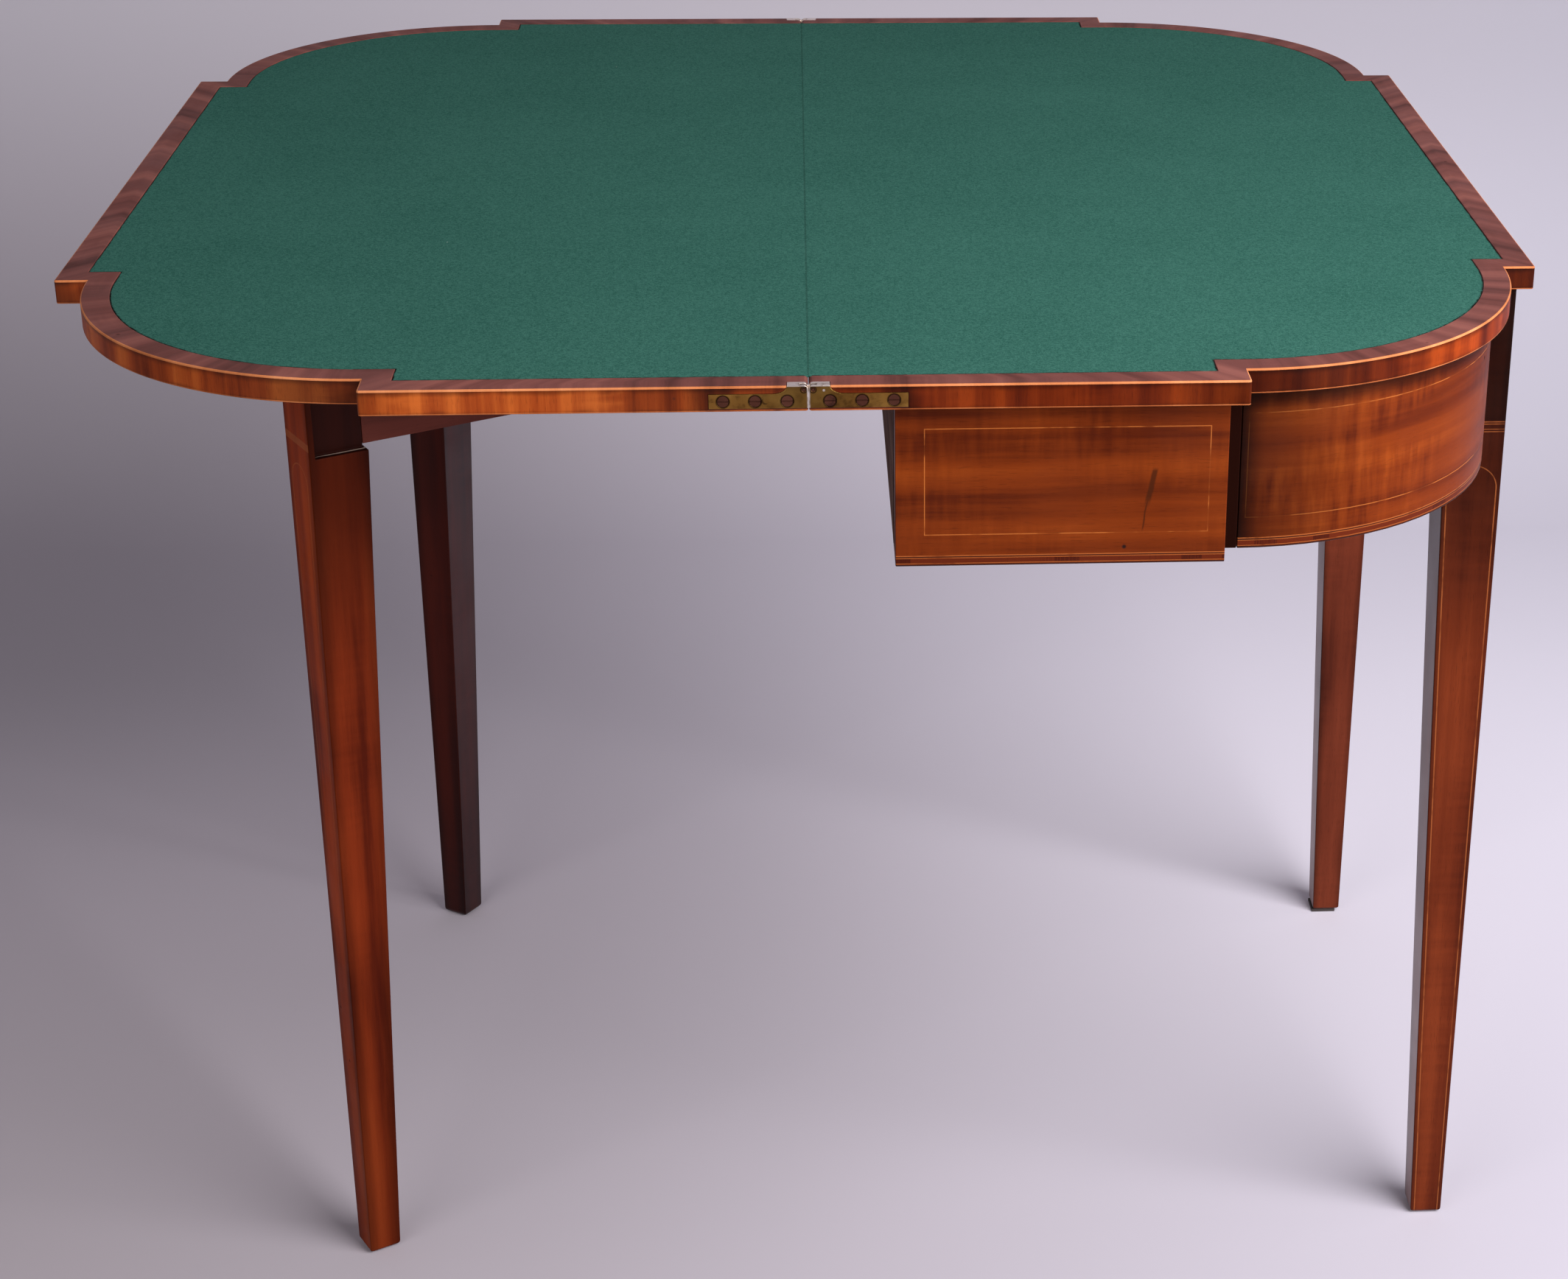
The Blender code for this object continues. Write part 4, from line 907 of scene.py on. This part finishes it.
def frieze_inlay(read, left, right, shaded=0.0, under_leaf=0.30):
    """Strings round a rectangle and a banded foot. The read function gives the places along
    the face and up it. Painted shadow darkens the face under the leaf, and at its start out to
    the shaded distance."""
    def inlay(place, colour):
        across, height = read(place)
        frame = use_group(
            string_frame, Across=across, Up=height, Width=FRAME_LINE,
            Middle_across=(left + right) / 2, Half_across=(right - left) / 2,
            Middle_up=(FRAME_LOW + FRAME_HIGH) / 2, Half_up=(FRAME_HIGH - FRAME_LOW) / 2)["Mask"]
        frame = times(frame, ramped(noise(place, 34.0, 3.0, 0.7), 0.40, 0.54, 0.08, 0.70))
        above = maths("SUBTRACT", height, FRIEZE_FOOT)
        dark = larger(ramped(above, 0.0013, 0.0010), line_mask(above, *DARK_FOOT_LINE))
        light = times(larger(*[line_mask(above, *line) for line in PALE_FOOT_LINES]),
                      ramped(noise(place, 45.0, 3.0, 0.7), 0.34, 0.48, 0.3, 1.0))
        under = about(noise(place, 30.0), 0.006, height)
        colour = mixed(frame, colour, (0.40, 0.120, 0.026))
        # Painted shadow under the leaf's overhang.
        colour = dimmed(ramped(under, 0.7100, 0.6985, under_leaf, 1.0), colour)
        # Painted shadow at the curved rail's start, beside the proud panel.
        if shaded:
            along = maths("SUBTRACT", across, left)
            colour = dimmed(ramped(along, -0.008, shaded, 0.42, 1.0), colour)
            colour = dimmed(ramped(along, -0.006, 0.012, 0.1, 1.0), colour)
        bands = use_group(band_pieces, Across=across, Length=BAND_PIECE)["Color"]
        colour = mixed(line_mask(above, *FOOT_BAND), colour, bands)
        colour = mixed(dark, colour, (0.03, 0.008, 0.005))
        return mixed(light, colour, (0.27, 0.074, 0.018))
    return inlay


def read_object(axis):
    """Reads a flat face's places straight from the object: along X or Y, and up Z."""
    def read(place):
        axes = split(place)
        return axes[axis], axes[2]
    return read


def read_veneer(place):
    """Reads the places along and up a bent veneer from its own map."""
    return on_map(place, "grain")[:2]


# The shake leans: its place along the panel grows by this share of the height.
SHAKE_LEAN, SHAKE_LOW, SHAKE_TOP = 0.178, 0.634, 0.675
SHAKE_PLACE = 0.1954 - SHAKE_LEAN * 0.658
end_lines = frieze_inlay(read_object(0), 0.0654, 0.2298, under_leaf=1.0)


def cracked_end(place, colour):
    """The near end panel's inlay, and the dark shake that wanders down its right-hand side,
    with a stain about its upper part."""
    x, y, z = split(place)
    wander = about(noise(place, 70.0, 3.0), 0.0035, x)
    away = apart(maths("MULTIPLY_ADD", z, -SHAKE_LEAN, wander), SHAKE_PLACE)
    stain = times(ramped(away, 0.0022, 0.0009, 0.0, 0.8), ramped(z, 0.648, 0.657),
                  ramped(z, 0.676, 0.672))
    crack = times(larger(ramped(away, 0.0007, 0.0002, 0.0, 0.75), stain),
                  ramped(z, SHAKE_LOW, SHAKE_LOW + 0.004), ramped(z, SHAKE_TOP, SHAKE_TOP - 0.003),
                  ramped(y, 0.0, -0.01))
    return end_lines(place, mixed(crack, colour, (0.035, 0.008, 0.002)))


PANEL_COLOURS = (0.200, 0.036, 0.0040), (0.126, 0.0195, 0.0022), (0.056, 0.0072, 0.0012)
QUARTER = FRIEZE_RADIUS * math.pi / 2
end_panel = wood("frieze_end_veneer", *PANEL_COLOURS, ALONG_X, ripple=0.35, inlay=cracked_end)
front_panel = wood("frieze_front_veneer", *PANEL_COLOURS, ALONG_Y, ripple=0.8,
                   inlay=frieze_inlay(read_object(1), -0.182, 0.182))
curved_veneer = wood(
    "frieze_curve_veneer", (0.205, 0.0375, 0.0045), (0.135, 0.0205, 0.0024),
    (0.072, 0.0090, 0.0014), ripple=0.9, roughness=0.38,
    inlay=frieze_inlay(read_veneer, 0.0042, QUARTER + 0.008, shaded=0.10))


def veneer_map(places, normals):
    """Unrolls a curved rail: along is the arc from the panel's end, then the straight to the
    leg, and up is the height."""
    past_x, past_y = places[:, 0] - STRAIGHT_X, np.abs(places[:, 1]) - STRAIGHT_Y
    angle = np.arctan2(np.maximum(past_x, 0), np.maximum(past_y, 1e-6))
    along = FRIEZE_RADIUS * angle + np.maximum(-past_y, 0) + np.minimum(past_x, 0)
    return {"grain": np.stack([along, places[:, 2]], 1)}


for end in ("near", "far"):
    dress(f"end_panel_{end}", PANEL_EASE, end_panel)
    dress(f"corner_rail_{end}", PANEL_EASE, curved_veneer, veneer_map, sharp=30.0)
dress("front_rail", PANEL_EASE, front_panel)

# The front legs
# Square mahogany legs, tapered on their two inner faces. The outward faces have a double
# pair of cross lines at the frieze's foot, and below it an arch-topped string to the floor.
LEG_WIDTH, FOOT_WIDTH, TAPER_TOP = 0.040, 0.0225, FRIEZE_FOOT - 0.004
LEG_EASE, FOOT_ROUND, FOOT_SHARES, CROSS_LINE = 0.0009, 0.0042, (1.0, 0.70, 0.46, 0.28), 0.0005
STRUNG, REBATED, LEDGE = 1.0, -1.0, -2.0

# An arch-topped string: two lines at an inset from a leg's edges, joined by a half circle.
arch_string, entry, leave = shader_group(
    "arch_string", {"From edge": "value", "Height": "value", "Leg width": "value",
                    "Inset": "value", "Springing": "value"}, {"Mask": "value"})
aside = maths("ABSOLUTE", maths("MULTIPLY_ADD", entry["Leg width"], -0.5, entry["From edge"]))
over = maths("SUBTRACT", entry["Height"], entry["Springing"])
radius = maths("SUBTRACT", times(entry["Leg width"], 0.5), entry["Inset"])
to_centre = maths("SQRT", maths("ADD", times(aside, aside), times(over, over)))
away = node("Mix", {"Factor": maths("GREATER_THAN", over, 0.0),
                              "A": maths("SUBTRACT", aside, radius),
                              "B": maths("SUBTRACT", to_centre, radius)}).outputs["Result"]
feed(leave, {"Mask": maths("SUBTRACT", 1.0, ramped(maths("ABSOLUTE", away), 0.00022, 0.00052))})


def leg_map(outer, pivot=None, degrees=0.0, strung=((1, 0), (0, 1))):
    """Reads a leg's faces in its own square frame: the distance from the outer arris and the
    height, then the face's width at that height and its kind."""
    def maps(places, normals):
        angle = math.radians(-degrees)
        spin = np.array([[math.cos(angle), -math.sin(angle)], [math.sin(angle), math.cos(angle)]])
        centre = np.array(pivot or (0.0, 0.0))
        flat, facing = (places[:, :2] - centre) @ spin.T + centre, normals[:, :2] @ spin.T
        away = np.abs(flat - np.array(outer))
        on_x = np.abs(facing[:, 0]) > np.abs(facing[:, 1])
        from_edge = np.where(on_x, away[:, 1], away[:, 0])
        height = places[:, 2]
        width = LEG_WIDTH - (LEG_WIDTH - FOOT_WIDTH) * np.clip(1 - height / TAPER_TOP, 0, 1)
        kind = np.zeros(len(height))
        for way in strung:
            kind = np.where(facing @ np.array(way, float) > 0.8, STRUNG, kind)
        if pivot:
            inner = on_x & (facing[:, 0] > 0) | (facing[:, 1] * outer[1] < 0)
            kind = np.where((height > TAPER_TOP + 0.0022) & inner, REBATED, kind)
            kind = np.where((normals[:, 2] > 0.99) & (height > TAPER_TOP), LEDGE, kind)
        return {"face": np.stack([from_edge, height], 1), "width": np.stack([width, kind], 1)}
    return maps


def leg_inlay(inset, springing, lines, arris, strip=None, block=1.0, neck=0.36, foot=1.0):
    """Paints shade on a leg towards its arrises and at its neck, darkens it at its foot and on
    the block above, and lays the arch-topped string and the cross lines on its strung faces. A leg
    with a strip also has its strung face painted paler as painted light, and a darkened rebate
    over a pale ledge line that is wear and painted highlight."""
    def inlay(place, colour):
        from_edge, height = on_map(place, "face")[:2]
        width, kind = on_map(place, "width")[:2]
        strung = maths("MAXIMUM", kind, 0.0)
        near_arris = maths("MINIMUM", from_edge, maths("SUBTRACT", width, from_edge))
        near_arris = about(streaked(place, (40, 40, 8), 3.0), 0.006, near_arris)
        below = ramped(height, TAPER_TOP - 0.200, TAPER_TOP - 0.010, 1.0, neck)
        if strip:
            below = larger(below, times(kind, 0.85))
        # Painted shade towards the arrises and at the neck; darker on the block and towards the
        # foot.
        lit = times(ramped(near_arris, 0.0, *arris, 1.0),
                    ramped(height, TAPER_TOP + 0.0085, TAPER_TOP + 0.0095, 1.0, block),
                    below, ramped(height, 0.0, 0.40, foot, 1.0))
        colour = dimmed(lit, colour)
        arch = use_group(arch_string, From_edge=from_edge, Height=height, Leg_width=width,
                         Inset=inset, Springing=springing)["Mask"]
        mask = times(larger(arch, *[line_mask(height, line, CROSS_LINE) for line in lines]),
                     strung, ramped(noise(place, 30.0, 3.0, 0.7), 0.36, 0.52, 0.15, 0.52))
        if strip:
            mask = times(mask, ramped(height, 0.10, 0.45))
            # The strung face painted paler: painted light on the side it faces.
            colour = mixed(strung, colour, mixed(1.0, colour, (1.6, 1.5, 0.5), "MULTIPLY"))
            colour = mixed(times(line_mask(height, *strip), strung, 0.55), colour,
                           (0.30, 0.085, 0.025))
            rebate = maths("MULTIPLY", kind, REBATED, clamp=True)
            colour = mixed(times(rebate, 0.8), colour, (0.020, 0.006, 0.005))
            # The ledge's pale line is wear and a painted highlight.
            ledge = maths("SUBTRACT", REBATED, kind, clamp=True)
            ledge = times(ledge, line_mask(near_arris, 0.0050, 0.0036), 0.90)
            colour = mixed(ledge, colour, (0.85, 0.74, 0.64))
        return mixed(mask, colour, (0.36, 0.105, 0.030))
    return inlay


def worn_foot(mesh):
    """Draws a leg in towards its foot: below the round's height its sides fall away in a
    quarter circle."""
    bm = bmesh.new()
    bm.from_mesh(mesh)
    for share in FOOT_SHARES:
        bmesh.ops.bisect_plane(bm, geom=[*bm.verts, *bm.edges, *bm.faces],
                               plane_co=(0, 0, FOOT_ROUND * share), plane_no=(0, 0, 1))
    bm.to_mesh(mesh)
    bm.free()
    places = read_array(mesh.vertices, "co", 3)
    middle = places[places[:, 2] < FOOT_ROUND, :2].mean(0)
    short = np.clip(FOOT_ROUND - places[:, 2], 0, FOOT_ROUND)
    drawn = 1 - fall(FOOT_ROUND, short) / (FOOT_WIDTH / 2)
    places[:, :2] = middle + (places[:, :2] - middle) * drawn[:, None]
    mesh.vertices.foreach_set("co", places.ravel())
    mesh.update()


front_inlay = leg_inlay(0.0029, 0.5725, (0.6192, 0.6177, 0.6141, 0.6124),
                        arris=(0.0060, 0.60), block=0.40)
for end, side, colours in (
        ("near", -1, ((0.152, 0.026, 0.0065), (0.097, 0.0148, 0.0036), (0.046, 0.0062, 0.0015))),
        ("far", 1, ((0.160, 0.031, 0.0130), (0.103, 0.0190, 0.0078), (0.049, 0.0082, 0.0035)))):
    front_leg = wood(f"front_leg_mahogany_{end}", *colours, UPRIGHT, streak=0.9, ripple=0.3,
                     shine=0.07, glance=(0.60, 0.78, 4.0), inlay=front_inlay)
    low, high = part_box(f"front_leg_{end}")
    outer = (high.x, low.y if side < 0 else high.y)
    dress(f"front_leg_{end}", LEG_EASE, front_leg,
          leg_map(outer, strung=((1, 0), (0, side))), shape=worn_foot)
leather, shader, place = new_material("foot_leather")
pebble = noise(place, 700.0, 4.0)
feed(shader.inputs, {"Base Color": mixed(pebble, (0.012, 0.008, 0.007), (0.05, 0.035, 0.03)),
                     "Roughness": 0.7, "Normal": bumped(pebble, 0.4, 0.0003)})
nodes["foot_pad"].data.materials[0] = leather

# The gates
# Two stained beech arms swing on iron pins from knuckles in the hinge rail. Each carries a
# mahogany leg, rebated at the top to lap the frieze's back corner when it is shut.
PIVOT_X, PIVOT_Y, SHUT_LEG_X, SHUT_LEG_Y, ARM_EASE = 0.0373, 0.047, 0.0135, 0.460, 0.0005
gate_inlay = leg_inlay(0.0065, 0.5920, (), arris=(0.0100, 0.55), strip=(0.6210, 0.0050),
                       neck=0.50, foot=0.60)
near_gate_leg = wood(
    "gate_leg_mahogany", (0.275, 0.042, 0.009), (0.165, 0.0210, 0.0044),
    (0.064, 0.0068, 0.0018), UPRIGHT, streak=0.9, ripple=0.1, pores=0.12, shine=0.04,
    inlay=gate_inlay)
# A shaded copy of the gate leg's mahogany: the far leg's darker colours are painted shade.
far_gate_leg = wood(
    "deep_gate_leg_mahogany", (0.085, 0.008, 0.002), (0.048, 0.0045, 0.0015),
    (0.020, 0.002, 0.001), UPRIGHT, streak=0.9, ripple=0.3, shine=0.12,
    glance=(0.32, 0.40, 0.40), inlay=gate_inlay)
beech = dict(streak=0.8, ripple=0.2, roughness=0.5, dirt=1.5)
for end, side, degrees, gate_leg in (("near", -1, -60.5, near_gate_leg),
                                     ("far", 1, 57.0, far_gate_leg)):
    dress(f"gate_leg_{end}", LEG_EASE, gate_leg,
          leg_map((SHUT_LEG_X, side * SHUT_LEG_Y), (PIVOT_X, side * PIVOT_Y), degrees,
                  strung=((0, side),)), shape=worn_foot)
    arm = wood(f"stained_beech_arm_{end}", (0.20, 0.055, 0.040), (0.120, 0.028, 0.019),
               (0.045, 0.012, 0.009), (0, 0, math.radians(90 - degrees)), **beech)
    dress(f"gate_arm_{end}", ARM_EASE, arm, segments=2)
stained_beech = wood("stained_beech", (0.10, 0.034, 0.024), (0.060, 0.018, 0.013),
                     (0.022, 0.008, 0.007), ALONG_Y, **beech)
dress("hinge_rail", ARM_EASE, stained_beech, segments=2)

# The hidden carcass
# Bare pine rails, a bearer and glue blocks hold the frieze together and carry the fixed leaf.
# They are sawn and planed, and brown with age.
PINE = (0.42, 0.215, 0.085), (0.30, 0.140, 0.050), (0.15, 0.060, 0.022)
STAINED_PINE = (0.17, 0.105, 0.085), (0.115, 0.066, 0.054), (0.055, 0.030, 0.026)
SAWN_EASE = 0.0008


def stained_and_shaded_ends(place, colour):
    """The end rails are stained, and painted near black as shade, where they show: at the back,
    and beside the panel.
    """
    x, y = split(place)[:2]
    shown = larger(ramped(maths("ABSOLUTE", y), 0.4330, 0.4336), ramped(x, 0.0520, 0.0500))
    return mixed(shown, colour, (0.010, 0.002, 0.001))


for name, colours, turn, inlay, pieces in (
        ("pine_lengthways", STAINED_PINE, ALONG_Y, None, ["back_rail"]),
        ("pine_crossways", PINE, ALONG_X, None, ["bearer"]),
        ("pine_end_rails", PINE, ALONG_X, stained_and_shaded_ends, ["end_rail_near", "end_rail_far"]),
        ("pine_blocks", PINE, UPRIGHT, None, [n for n in nodes if n.startswith("glue_block")])):
    pine = wood(name, *colours, turn, ripple=0.15, pores=0.2, roughness=0.75, dirt=1.5,
                shine=0.02, inlay=inlay, bump=0.4)
    for piece in pieces:
        dress(piece, SAWN_EASE, pine, segments=2)
